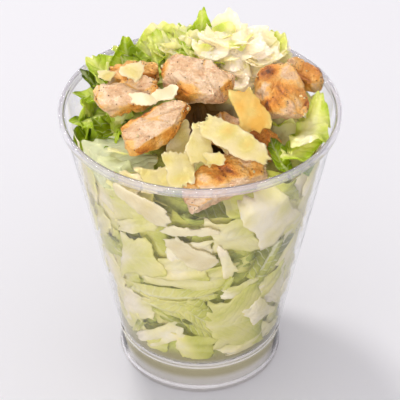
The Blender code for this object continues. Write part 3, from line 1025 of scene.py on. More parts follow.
@dataclass(frozen=True)
class Slice:
    """One grilled slice: a rounded slab with slanted ends, a bowed middle and an uneven outline.

    Top, sides and ends say how browned each is, and dark how charred its streaks are. A corner
    stays pale beyond the line that pale_side gives.
    """

    node: str
    place: Triple
    turns: Triple
    size: Triple
    slant: float
    taper: float
    bend: float
    seed: int
    top: float = 0.0
    sides: float = 1.0
    ends: float = 0.3
    dark: float = 0.0
    pale_side: float = -9.0
    cuts: int = 13

    def base_rings(self, rows: int, around: int) -> Array:
        """Rings of the plain slab, in its own place.

        Along the slab x runs as minus the cosine of even angles. Each section is a squarish
        oval, its radius 1 over the fourth root of cos to the fourth plus sin to the fourth.

        Args:
            rows: number of steps along.
            around: number of points round each section.

        Returns:
            Rings by around by 3 array.
        """
        length, width, thickness = self.size
        along = -np.cos(np.pi * np.arange(1, rows) / rows)[:, None]
        phi = np.arange(around) * (TURN / around)
        reach = (np.cos(phi) ** 4 + np.sin(phi) ** 4) ** -0.25
        full = (1.0 - np.abs(along) ** 5.0) ** (1.0 / 3.0)
        y = 0.5 * width * full * (1.0 + self.taper * along) * reach * np.cos(phi)
        z = 0.5 * thickness * full * reach * np.sin(phi) + self.bend * (along**2 - 0.4)
        x = 0.5 * length * along + self.slant * y
        rings = np.stack((x, y, z), axis=-1)
        swell = 1.0 + 0.07 * ripple(rings, 1.1 * width, self.seed)
        swell += 0.045 * ripple(rings, 0.55 * width, self.seed + 50)
        rings[..., 1:] *= swell[..., None]
        rings[..., 1] += 0.07 * width * np.sin(2.4 * along + 1.7 * self.seed)
        return rings

    def carved(self, rings: Array) -> Array:
        """Flat cut faces: what lies beyond each of some seeded planes is drawn back to it.

        Args:
            rings: rings by around by 3 array.

        Returns:
            The rings with flat faces.
        """
        draw = np.random.default_rng(self.seed + 400)
        cut = rings.copy()
        for _ in range(self.cuts):
            direction = draw.normal(size=3) * np.array((0.5, 1.0, 0.9))
            direction /= np.linalg.norm(direction)
            reach = cut @ direction
            limit = draw.uniform(0.74, 0.92) * reach.max()
            cut -= 0.9 * np.maximum(reach - limit, 0.0)[..., None] * direction
        return cut

    def torn(self, rings: Array, normals: Array) -> Array:
        """Relief of torn and cut flesh: lumps, fibres that run aslant, cracks and small pits.

        Args:
            rings: rings by around by 3 array.
            normals: their normals.

        Returns:
            The rings with their relief.
        """
        aslant = rings @ turned((34.0, 0.0, 0.0)).T * np.array((0.22, 1.0, 1.0))
        pits = np.maximum(ripple(rings, 2.6, self.seed + 9, 9) - 1.0, 0.0)
        relief = 0.26 * ripple(rings, 6.5, self.seed + 3, 8) + 0.17 * ripple(rings, 2.6, self.seed + 4, 9)
        relief += 0.13 * ripple(aslant, 1.2, self.seed + 5, 10) - 0.35 * pits - 0.6 * self.cracks(rings)
        return rings + normals * relief[..., None]

    def cracks(self, rings: Array) -> Array:
        """Narrow cracks from 0 to 1 where slow noise, stretched aslant, passes zero."""
        aslant = rings @ turned((34.0, 0.0, 0.0)).T * np.array((0.4, 1.0, 1.0))
        return np.maximum(1.0 - np.abs(ripple(aslant, 8.5, self.seed + 10, 7)) / 0.13, 0.0)

    def crust(self, rings: Array, normals: Array) -> Array:
        """Browning from 0 to 1: on the narrow sides, the ends and the seared top.

        Broad noise makes it uneven, and narrow streaks char the top where it is seared. The
        edges round the top are browner, and one corner may stay pale, beyond a slanted line.

        Args:
            rings: rings by around by 3 array.
            normals: their normals.

        Returns:
            Browning at each point.
        """
        along = np.abs(rings[..., 0]) / (0.5 * self.size[0])
        half_width = 0.5 * self.size[1] * (1.0 + self.taper * rings[..., 0] / (0.5 * self.size[0]))
        across = np.abs(rings[..., 1]) / half_width
        browned = self.sides * np.maximum(step(0.4, 1.0, np.abs(normals[..., 1])), step(0.60, 0.95, across))
        browned = np.maximum(browned, self.top * step(0.35, 0.9, normals[..., 2]))
        browned = np.maximum(browned, self.ends * along**6)
        diagonal = 1.6 * rings[..., 1] / self.size[1] + 1.0 * rings[..., 0] / self.size[0]
        browned = browned * step(self.pale_side, self.pale_side + 0.35, diagonal)
        broad = ripple(rings, 11.0, self.seed + 21, 8)
        aslant = rings @ turned((60.0, 0.0, 0.0)).T * np.array((0.3, 1.0, 1.0))
        streaks = np.maximum(ripple(aslant, 3.6, self.seed + 22, 9) - 0.25, 0.0)
        rim = np.exp(-(((normals[..., 2] - 0.42) / 0.17) ** 2)) * step(-0.5, 0.9, broad)
        rim = rim * step(0.3, 0.8, across + along**3)
        value = browned * (0.58 + 0.27 * broad) + 0.05 * broad + 0.22 * self.cracks(rings) + 0.34 * rim
        return np.clip(value + (self.dark + 0.12) * browned * streaks, 0.0, 1.0)

    def surface(self, rows: int = 72, around: int = 108) -> tuple[Array, Array, Array, Array, Array]:
        """Finished rings in place, their poles, own coordinates, browning and normals.

        Args:
            rows: number of steps along.
            around: number of points round each section.

        Returns:
            Rings, poles, own coordinates, browning and normals.
        """
        plain = self.base_rings(rows, around)
        rings = self.carved(plain)
        normals = -grid_normals(rings, closed=True)
        fine = self.torn(rings, normals)
        poles = np.stack((fine[0].mean(axis=0), fine[-1].mean(axis=0)))
        poles[:, 0] += np.array((-0.25, 0.25))
        world, ends = (placed(points, self.place, self.turns) for points in (fine, poles))
        return world, ends, fine, self.crust(rings, normals), normals @ turned(self.turns).T


# Node, place, turns, (length, width, thickness), slant, taper, bend and seed, then the browning.
SLICES = (
    Slice(
        "chicken_left_front", (-25.4, -2.0, 113.4), (-15, 12, 35), (25, 11, 7.5), 0.15, 0.1, 1.0, 11,
        top=0.16, sides=0.5, ends=0.9,
    ),
    Slice(
        "chicken_left_back", (-23.8, 9.0, 114.2), (-8, 16, 20), (20, 9, 7), -0.2, 0.12, 0.8, 12,
        top=0.6, sides=0.8, ends=0.5,
    ),
    Slice(
        "chicken_front_left", (-14.2, -17.6, 111.8), (35, 18, 20), (26, 11, 8), 0.2, -0.1, 0.8, 13,
        top=0.1, sides=0.75, ends=0.6,
    ),
    Slice(
        "chicken_top", (-0.8, 0.2, 118.4), (-20, -2, 18), (26, 15, 11), -0.2, 0.06, 1.0, 14,
        top=0.06, sides=0.42, ends=0.7,
    ),
    Slice(
        "chicken_middle", (14.0, -13.5, 103.6), (-24, -16, 15), (28, 12, 8.5), 0.2, 0.0, 0.8, 15,
        top=0.7, sides=0.8, ends=0.4, dark=0.1,
    ),
    Slice(
        "chicken_front", (8.2, -32.6, 100.3), (31, 12, 22), (31, 14, 11), 0.1, 0.0, 0.8, 16,
        top=0.58, sides=0.1, ends=0.2, dark=0.22, pale_side=-0.6,
    ),
    Slice(
        "chicken_right", (27.7, -1.0, 113.5), (-78, -8, -5), (26, 17, 11), 0.1, 0.08, 1.0, 17,
        top=0.8, sides=0.8, ends=0.5, dark=0.03,
    ),
    Slice(
        "chicken_right_back", (36.2, 15.2, 109.6), (-37, -6, 20), (16, 10, 7.5), 0.1, -0.25, 0.6, 18,
        top=0.85, sides=0.7, ends=0.9, dark=0.05,
    ),
)


@dataclass(frozen=True)
class Shaving:
    """One thin shaving with ragged edges, curled along its length or bent to the wall."""

    node: str
    place: Triple
    turns: Triple
    size: tuple[float, float]
    taper: float
    curl: float
    seed: int
    tone: float = 0.35
    at_wall: bool = False
    wall_depth: float = 0.85

    def outline(self, rows: int, columns: int) -> tuple[Array, Array]:
        """Distances along and across at the grid, with uneven ends and sides.

        Args:
            rows: number of rows along.
            columns: number of columns across.

        Returns:
            The distances along and across.
        """
        length, width = self.size
        phases = np.random.default_rng(self.seed).uniform(0.0, TURN, 4)
        u = np.linspace(-1.0, 1.0, rows)[:, None]
        v = np.linspace(-1.0, 1.0, columns)[None, :]
        half = 0.5 * width * (1.0 + self.taper * u) * (1.0 - 0.30 * np.abs(u) ** 3)
        half = half * (1.0 + 0.10 * np.sin(3.1 * u + phases[0])) * (1.0 + 0.12 * np.abs(u) ** 3)
        across = half * v + 0.06 * width * np.sin(2.3 * u + phases[1])
        along = 0.5 * length * u * (1.0 - 0.06 * v * v + 0.08 * np.sin(2.2 * v + phases[2]))
        seat = np.stack((along, across, 0.0 * along), axis=-1)
        bites, nicks = ripple(seat, 9.0, self.seed + 60, 4), ripple(seat, 2.8, self.seed + 61, 7)
        torn = 0.9 - np.abs(bites) - 0.7 * np.abs(nicks)
        across = across + 0.48 * torn * np.abs(v) ** 4 * np.sign(v)
        along = along + (0.03 * length + 0.8) * torn * np.abs(u) ** 6 * np.sign(u)
        return along, across

    def shades(self, rows: int, columns: int, own: Array) -> Array:
        """Change of tone over the grid: paler at the crumbly edges, with broad uneven patches.

        Args:
            rows: number of rows along.
            columns: number of columns across.
            own: own coordinates of the grid.

        Returns:
            The change.
        """
        u = np.linspace(-1.0, 1.0, rows)[:, None]
        v = np.linspace(-1.0, 1.0, columns)[None, :]
        return 0.12 * ripple(own, 7.0, self.seed + 80, 7) + 0.06 - 0.22 * np.maximum(np.abs(u), np.abs(v)) ** 5

    def surface(self, rows: int = 44, columns: int = 26) -> tuple[Array, Array]:
        """Middle surface in place and its own coordinates.

        A shaving on the heap is an arc along its length. One at the wall follows the wall.

        Args:
            rows: number of rows along.
            columns: number of columns across.

        Returns:
            The grid and its own coordinates.
        """
        along, across = self.outline(rows, columns)
        own = np.stack((along, across, np.full(along.shape, self.seed * 7.0)), axis=-1)
        swell = 0.16 * ripple(own, 5.5, self.seed + 70, 7) + 0.06 * ripple(own, 2.0, self.seed + 71, 9)
        if self.at_wall:
            angle, height, lean = self.place
            tilt = math.radians(lean)
            side = along * math.cos(tilt) - across * math.sin(tilt)
            up = height + along * math.sin(tilt) + across * math.cos(tilt)
            return WALL.points(angle, side, up, self.wall_depth + np.abs(swell)), own
        bend = math.radians(self.curl) / self.size[0]
        lift = (1.0 - np.cos(bend * along)) / bend + swell
        grid = np.stack((np.sin(bend * along) / bend, across, lift), axis=-1)
        return placed(grid, self.place, self.turns), own


# Node, place, turns, (length, width), taper, curl, seed and tone. Of those at the wall, the place is
# the angle round the cup, the height and the lean.
SHAVINGS = (
    Shaving("cheese_tongue", (16.4, -15.5, 117.0), (-72, -24, 0), (18, 10.5), 0.15, -25, 31, 0.88),
    Shaving("cheese_long", (11.7, -27.6, 113.2), (-19, -17, 32), (26, 9), -0.15, -12, 32, 0.44),
    Shaving("cheese_flake", (-18.8, -9.4, 117.0), (-8, 10, 25), (11, 4.6), 0.1, 15, 33, 0.0),
    Shaving("cheese_tip", (-11.5, -10.8, 120.2), (8, 6, 25), (8, 5), -0.1, 20, 34, 0.1),
    Shaving("cheese_triangle", (-22.2, 0.6, 122.0), (53, 12, 15), (8, 6), -0.5, 10, 35, 0.3),
    Shaving("cheese_crumb", (-32.5, 6.8, 115.8), (-28, 14, 20), (6, 4), 0.2, 10, 36, 0.4),
    Shaving("cheese_left_slab", (-7.8, -18.0, 105.7), (95, 28, -14), (15, 9), 0.1, 15, 37, 0.42),
    Shaving("cheese_right_slab", (0.4, -27.8, 111.5), (85, 28, 14), (16, 8.5), 0.1, -15, 38, 0.44),
    Shaving("cheese_square", (-6.6, -35.2, 106.6), (115, 24, 0), (13, 10), 0.1, 15, 39, 0.42),
    Shaving("cheese_front", (-15.0, -34.6, 102.2), (10, 6, 34), (10.5, 9), -0.1, 12, 40, 0.42),
    Shaving("cheese_front_left", (-23.0, -32.4, 99.6), (-25, -6, 30), (8, 7), 0.2, 12, 41, 0.3),
    Shaving("cheese_small", (4.4, -33.6, 109.6), (12, 4, 28), (7, 5), 0.1, 15, 42, 0.48),
    Shaving("cheese_strip", (7.2, -24.2, 110.6), (-52, -20, 30), (11, 3.6), 0.1, 12, 43, 0.4),
    # The three pieces at the wall take pale tones: painted light, as they lie in shade behind the wall.
    Shaving("cheese_wall_high", (-117.0, 94.8, -24.0), (0, 0, 0), (21, 8.5), 0.25, 0, 51, 0.08, True),
    Shaving("cheese_wall_middle", (-95.5, 86.0, 4.0), (0, 0, 0), (19, 4.4), 0.0, 0, 52, 0.0, True),
    Shaving("cheese_wall_low", (-94.5, 74.5, -42.0), (0, 0, 0), (20, 8.5), 0.1, 0, 53, 0.08, True),
)


def widened(levels: Array, axis: int, pick: np.ufunc, reach: int = 1) -> Array:
    """Map on which each cell takes the lowest or highest level within a reach of it on one axis."""
    return pick.reduce([np.roll(levels, shift, axis) for shift in range(-reach, reach + 1)])


class Clearance:
    """Levels that the toppings take up over a square of 1 mm cells, and round the wall."""

    wall_cells = (181, 121)
    wall_near = 9.0
    wall_top = 104.0

    def __init__(self, clouds: Sequence[Array], reach: int = 60) -> None:
        """Note the lowest and highest level of each topping over each cell.

        Args:
            clouds: closely spaced points of each topping.
            reach: half the side of the square, in millimetres.
        """
        self.reach = reach
        cells = 2 * reach + 1
        clouds = [cloud.reshape(-1, 3) for cloud in clouds]
        self.low = np.full((len(clouds), cells, cells), np.inf)
        self.high = np.full((len(clouds), cells, cells), -np.inf)
        for low, high, cloud in zip(self.low, self.high, clouds):
            np.minimum.at(low, self.cell(cloud), cloud[:, 2])
            np.maximum.at(high, self.cell(cloud), cloud[:, 2])
        for axis in (1, 2):
            self.low = widened(self.low, axis, np.minimum)
            self.high = widened(self.high, axis, np.maximum)
        everything = np.concatenate(clouds)
        inwards = WALL.radius(everything[:, 2]) - np.hypot(everything[:, 0], everything[:, 1])
        near = (inwards < self.wall_near) & (everything[:, 2] < self.wall_top)
        self.inner = np.zeros(self.wall_cells)
        row, column = (np.rint(value).astype(int) for value in self.wall_cell(everything[near]))
        np.maximum.at(self.inner, (row, column), inwards[near])
        for axis in (0, 1):
            self.inner = widened(self.inner, axis, np.maximum)
        for axis in (0, 1, 0, 1):
            self.inner = 0.25 * np.roll(self.inner, 1, axis) + 0.5 * self.inner + 0.25 * np.roll(self.inner, -1, axis)

    def cell(self, points: Array) -> tuple[Array, Array]:
        """Cell of each point over the square."""
        index = np.clip(np.rint(points[..., :2]) + self.reach, 0, 2 * self.reach).astype(int)
        return index[..., 0], index[..., 1]

    def wall_cell(self, points: Array) -> tuple[Array, Array]:
        """Place of each point on the map round the wall, in cells of 2 degrees by 1 mm."""
        angle = np.degrees(np.arctan2(points[..., 1], points[..., 0])) % 360.0
        return angle / 2.0, np.clip(points[..., 2], 0.0, 119.9)

    def underside(self, points: Array, reach: int = 3) -> Array:
        """Level of the lowest topping over each point or within a reach of it.

        Args:
            points: places, with the three coordinates last.
            reach: the reach, in cells.

        Returns:
            The levels, infinite where there is none.
        """
        low = self.low.min(axis=0)
        for axis in (0, 1):
            low = widened(low, axis, np.minimum, reach)
        return low[self.cell(points)]

    def blocked(self, points: Array, gap: float) -> Array:
        """Whether each point lies in a topping or within a gap of it.

        Args:
            points: places, with the three coordinates last.
            gap: least clear height.

        Returns:
            True where a topping is in the way.
        """
        i, j = self.cell(points)
        low, high = self.low[:, i, j], self.high[:, i, j]
        return ((points[..., 2] > low - gap) & (points[..., 2] < high + gap)).any(axis=0)

    def behind(self, points: Array) -> Array:
        """How far in from the wall the toppings reach at each point, run evenly between four cells.

        Args:
            points: places, with the three coordinates last.

        Returns:
            Depths in from the wall.
        """
        row, column = self.wall_cell(points)
        i, j = np.minimum(row, 179.0).astype(int), column.astype(int)
        s, t = row - i, column - j
        first = (1.0 - t) * self.inner[i, j] + t * self.inner[i, j + 1]
        return (1.0 - s) * first + s * ((1.0 - t) * self.inner[i + 1, j] + t * self.inner[i + 1, j + 1])


@dataclass
class Toppings:
    """The chicken, the shavings, and the pepper and crumbs on them."""

    pepper_each: int = 64
    pepper_size: tuple[float, float] = (0.10, 0.28)
    crumbs_each: int = 5
    crumb_size: tuple[float, float] = (0.30, 0.62)
    shaving_thickness: float = 0.8
    clouds: list[Array] = field(default_factory=list)

    def chicken(self, effects: Effects) -> list[tuple[Array, Array]]:
        """Build each slice.

        Args:
            effects: the shared node groups.

        Returns:
            Surface points and normals of each slice, for the pepper.
        """
        finish = ChickenFinish().material(effects)
        faces = []
        for row in SLICES:
            rings, poles, own, crust, normals = row.surface()
            skin = Skin()
            skin.add_rings(rings, poles, own, {"crust": crust})
            skin.piece(f"{row.node}_grilled", finish, "chicken", (row.node,))
            self.clouds.append(rings)
            faces.append((rings.reshape(-1, 3), normals.reshape(-1, 3)))
        return faces

    def cheese(self, effects: Effects) -> None:
        """Build each shaving.

        Args:
            effects: the shared node groups.
        """
        finish = CheeseFinish().material(effects)
        for row in SHAVINGS:
            grid, own = row.surface()
            skin = Skin()
            skin.add_plate(grid, self.shaving_thickness, own, {"tone": row.tone + row.shades(*grid.shape[:2], own)})
            skin.piece(f"{row.node}_shaved", finish, "cheese", (row.node,))
            self.clouds.append(grid)

    def specks(
        self,
        faces: Sequence[tuple[Array, Array]],
        name: str,
        each: int,
        sizes: tuple[float, float],
        finish: bpy.types.Material,
        slot: str,
    ) -> None:
        """Scatter small uneven grains over the slices.

        Args:
            faces: points and normals of each slice.
            name: name of the piece.
            each: number on each slice.
            sizes: smallest and largest size.
            finish: their material.
            slot: material slot of the record.
        """
        draw = np.random.default_rng(77 + each)
        skin = Skin()
        for points, normals in faces:
            upward = np.flatnonzero(normals[:, 2] > 0.05)
            chosen = draw.choice(upward, each, replace=False)
            for point, normal in zip(points[chosen], normals[chosen]):
                size = draw.uniform(*sizes)
                self.grain(skin, point + normal * 0.25 * size, size, draw)
        skin.piece(name, finish, slot)

    def grain(self, skin: Skin, centre: Array, size: float, draw: np.random.Generator) -> None:
        """Uneven grain: three rings of five points on a ball, each moved in or out a little.

        Args:
            skin: the piece that takes it.
            centre: its middle.
            size: its radius.
            draw: source of the random draws.
        """
        level = np.array((-0.6, 0.1, 0.7))[:, None]
        angle = np.arange(5) * (TURN / 5) + np.arange(3)[:, None] * 0.6
        flat = np.sqrt(1.0 - level**2)
        rings = np.stack((flat * np.cos(angle), flat * np.sin(angle), level + 0.0 * angle), axis=-1)
        rings = rings * draw.uniform(0.7, 1.2, rings.shape[:2])[..., None]
        poles = np.array(((0.0, 0.0, -0.9), (0.0, 0.0, 0.95)))
        stretch = draw.uniform(0.6, 1.3, 3) * size
        turn = turned(tuple(draw.uniform(0.0, 360.0, 3)))
        rings, poles = ((points * stretch) @ turn.T + centre for points in (rings, poles))
        skin.add_rings(rings, poles, rings, {"tone": np.full(rings.shape[:2], 0.3)})

    def build(self, effects: Effects) -> Clearance:
        """Build all toppings and return the room that they take up.

        Args:
            effects: the shared node groups.

        Returns:
            The room that they take up.
        """
        faces = self.chicken(effects)
        self.cheese(effects)
        pepper, parmesan = PepperFinish().material(effects), bpy.data.materials["parmesan"]
        self.specks(faces, "pepper", self.pepper_each, self.pepper_size, pepper, "chicken")
        self.specks(faces, "crumbs", self.crumbs_each, self.crumb_size, parmesan, "cheese")
        return Clearance(self.clouds)


class Kind(Enum):
    """Kinds of cut leaf by their usual tone, from cream heart to dark outer leaf."""

    HEART = 0.06
    PALE = 0.24
    LIGHT = 0.42
    BRIGHT = 0.58
    GREEN = 0.76
    DARK = 0.95


@dataclass(frozen=True)
class Leaf:
    """One cut leaf on the heap, with its base at -X and its ruffled sides at +Y and -Y.

    Curl, cup and twist are turns in degrees: along the leaf, across it and from end to end.
    """

    place: Triple
    turns: Triple
    length: float
    width: float
    curl: float
    cup: float
    twist: float
    ruffle: float
    waves: float
    seed: int
    kind: Kind = Kind.LIGHT
    thickness: float = 0.5
    # Share of painted shade, a darker grey-green.
    watery: float = 0.0

    def surface(self, rows: int, columns: int) -> tuple[Array, Array, Array]:
        """Middle surface of the leaf in place.

        The grid is first drawn in at its corners: each distance times the root of 1 less 0.48 of
        the other squared. The spine is an arc that turns by the curl, and each cross line an arc
        that turns by the cup. Its half width is half the leaf's width times 0.62 plus 0.38 times a
        sine to the power 0.8. The sides wave up and down by the ruffle, more and faster towards
        the edge, the leaf twists along its length, and it puckers between its veins.

        Args:
            rows: number of rows along.
            columns: number of columns across.

        Returns:
            The grid, its own coordinates, and its tone.
        """
        draw = np.random.default_rng(self.seed)
        phases = draw.uniform(0.0, TURN, 4)
        more = draw.uniform(0.0, TURN, 8)
        u = np.linspace(0.0, 1.0, rows)[:, None]
        v = np.linspace(-1.0, 1.0, columns)[None, :]
        middle = 2.0 * u - 1.0
        u, v = 0.5 + 0.5 * middle * np.sqrt(1.0 - 0.48 * v * v), v * np.sqrt(1.0 - 0.48 * middle**2)
        bend = math.radians(self.curl) / self.length
        turn = math.radians(self.curl) * (u - 0.5)
        ends = 0.05 * np.sin(4.0 * v + more[0]) + 0.026 * np.sin(12.0 * v + more[1]) + 0.07 * np.cos(more[2]) * v
        rounded = 0.13 * np.abs(v) ** 6 * (u**4 - 0.5 * (1.0 - u) ** 4)
        turn = turn + math.radians(self.curl) * (ends * (2.0 * u - 1.0) - rounded)
        spine_x = np.sin(turn) / bend
        spine_z = (1.0 - np.cos(turn)) / bend
        spine_z = spine_z - spine_z.mean()
        half = 0.5 * self.width * (0.62 + 0.38 * np.sin(np.pi * (0.12 + 0.80 * u)) ** 0.8)
        half = half * (1.0 + 0.12 * np.sin(5.0 * u + phases[0]))
        ragged = 0.04 * np.sin(17.0 * u + more[3]) + 0.03 * np.sin(31.0 * u + more[4])
        half = half * (1.0 + ragged * np.abs(v) ** 4)
        spread = math.radians(self.cup)
        side = half * np.sin(spread * v) / spread
        lift = half * (1.0 - np.cos(spread * v)) / spread
        edge_phase = np.where(v < 0.0, phases[1], phases[2])
        lift = lift + self.ruffle * np.abs(v) ** 1.6 * np.sin(TURN * self.waves * u + edge_phase)
        lift = lift + 0.35 * self.ruffle * np.sin(np.pi * self.waves * u + phases[3])
        quick = np.where(v < 0.0, more[5], more[6])
        lift = lift + 0.34 * self.ruffle * np.abs(v) ** 3 * np.sin(TURN * 2.3 * self.waves * u + quick)
        own = np.stack((self.length * u + 0.0 * v, half * v, np.full((rows, columns), self.seed * 3.0)), axis=-1)
        lift = lift + 0.32 * ripple(own, 5.0, self.seed + 5, 8) + 0.07 * ripple(own, 2.0, self.seed + 6, 9)
        lean = math.radians(self.twist) * (u - 0.5)
        y = side * np.cos(lean) - lift * np.sin(lean)
        up = side * np.sin(lean) + lift * np.cos(lean)
        grid = np.stack((spine_x - np.sin(turn) * up, y, spine_z + np.cos(turn) * up), axis=-1)
        share = 0.35 if self.kind is Kind.HEART else 1.0
        drift = 0.22 * (u - 0.5) + 0.16 * (np.abs(v) - 0.45) + 0.10 * ripple(own, 9.0, self.seed + 8, 6)
        tone = self.kind.value + share * drift
        return placed(grid, self.place, self.turns), own, np.clip(tone, 0.0, 1.0)

    def values(self, tone: Array) -> dict[str, Array]:
        """What the finish reads at each point: the tone, how veined it is and its share of painted shade."""
        return {"tone": tone, "veined": np.ones(tone.shape), "watery": np.full(tone.shape, self.watery)}


# Place, turns, length, width, curl, cup, twist, ruffle, waves, seed and kind.
HEAP_LEAVES = (
    Leaf((-25.4, 21.6, 110.0), (110, 56, 0), 21, 16, 60, 50, 15, 1.6, 1.6, 101, Kind.BRIGHT),
    Leaf((-13.5, 26.0, 112.0), (95, 56, 0), 25, 21, 45, 30, 10, 2.0, 1.5, 102, Kind.PALE),
    Leaf((-1.5, 21.5, 113.8), (80, 46, 0), 20, 14, 50, 40, 25, 2.0, 1.7, 103, Kind.PALE),
    Leaf((0.5, 28.5, 114.6), (88, 62, 0), 24, 10, 30, 50, 20, 1.8, 1.6, 104, Kind.BRIGHT),
    Leaf((9.5, 30.0, 114.0), (80, 58, 0), 24, 16, 40, 40, -15, 2.0, 1.7, 105, Kind.HEART),
    Leaf((9.0, 23.5, 113.2), (-20, 6, 38), 20, 11, 20, -30, 10, 0.8, 1.2, 106, Kind.HEART),
    Leaf((18.0, 21.5, 112.2), (12, -4, 42), 20, 11, 15, -30, 10, 0.8, 1.2, 107, Kind.HEART),
    Leaf((12.5, 15.5, 111.6), (-8, 4, 40), 20, 10, 20, -25, 0, 0.8, 1.2, 108, Kind.HEART),
    Leaf((16.5, 29.0, 114.5), (20, 12, 40), 22, 12, 20, -20, 10, 1.2, 1.4, 109, Kind.HEART),
    Leaf((24.5, 27.4, 110.8), (-25, -12, 40), 19, 11, 25, -20, 0, 1.0, 1.3, 110, Kind.PALE),
    Leaf((26.5, 29.5, 109.4), (70, 46, 0), 19, 13, 50, 40, 10, 2.0, 1.6, 111, Kind.PALE),
    Leaf((38.0, -9.0, 106.2), (70, 6, -10), 28, 13, 40, -35, 10, 2.2, 2.6, 112, Kind.LIGHT),
    Leaf((34.2, -18.7, 103.2), (46, -6, 6), 21, 10, 30, 20, 15, 1.4, 1.6, 113, Kind.BRIGHT),
    Leaf((26.6, -23.6, 102.8), (118, 22, 0), 15, 6.5, 20, 40, 10, 0.8, 1.4, 114, Kind.GREEN),
    Leaf((-34.8, 14.0, 105.4), (150, 22, 0), 19, 9, 40, 60, 15, 1.2, 1.6, 116, Kind.DARK),
    Leaf((-34.6, 8.9, 105.0), (172, -4, 8), 20, 10, 30, 50, 10, 1.4, 1.6, 117, Kind.BRIGHT),
    Leaf((-32.5, -0.3, 103.2), (192, -12, 5), 24, 18, 30, -30, 15, 2.4, 2.5, 118, Kind.BRIGHT),
    Leaf((-27.0, -3.0, 102.4), (250, -10, 0), 20, 14, 30, 30, 10, 2.0, 2.4, 119, Kind.GREEN),
    Leaf((-31.6, -9.6, 100.9), (232, -18, 10), 20, 12, 30, 30, 15, 2.2, 2.4, 120, Kind.BRIGHT),
    Leaf((-26.2, -22.2, 100.6), (-40, -6, 22), 30, 20, 25, -20, 10, 1.4, 1.3, 121, Kind.PALE, watery=0.8),
    Leaf((-32.6, 20.8, 106.6), (140, 24, 0), 20, 14, 40, 40, 10, 1.4, 1.5, 122, Kind.LIGHT),
    Leaf((-28.0, -26.6, 97.8), (-45, -8, 24), 19, 11, 20, 20, 10, 1.2, 1.4, 125, Kind.PALE, watery=0.7),
    Leaf((18.9, 33.4, 107.5), (50, 10, -14), 20, 13, 30, 30, 10, 1.6, 1.5, 126, Kind.LIGHT),
    Leaf((4.0, 37.6, 107.3), (100, 12, 0), 20, 14, 40, 30, 10, 1.6, 1.5, 127, Kind.LIGHT),
    Leaf((-11.6, 34.8, 107.0), (125, 8, 10), 20, 14, 30, 30, 10, 1.6, 1.5, 128, Kind.LIGHT),
    Leaf((31.1, 19.8, 102.8), (30, 8, 0), 18, 11, 30, 30, 10, 1.4, 1.5, 129, Kind.LIGHT),
    Leaf((39.0, 3.0, 103.4), (85, 0, -8), 20, 11, 30, 20, 10, 1.8, 2.3, 130, Kind.LIGHT),
    Leaf((-38.0, -3.5, 96.2), (95, 0, 62), 22, 15, -30, 20, 8, 1.2, 2.2, 131, Kind.GREEN),
    Leaf((-38.4, 6.5, 99.6), (80, 0, 58), 20, 14, -30, 20, 8, 1.4, 2.2, 132, Kind.BRIGHT),
)


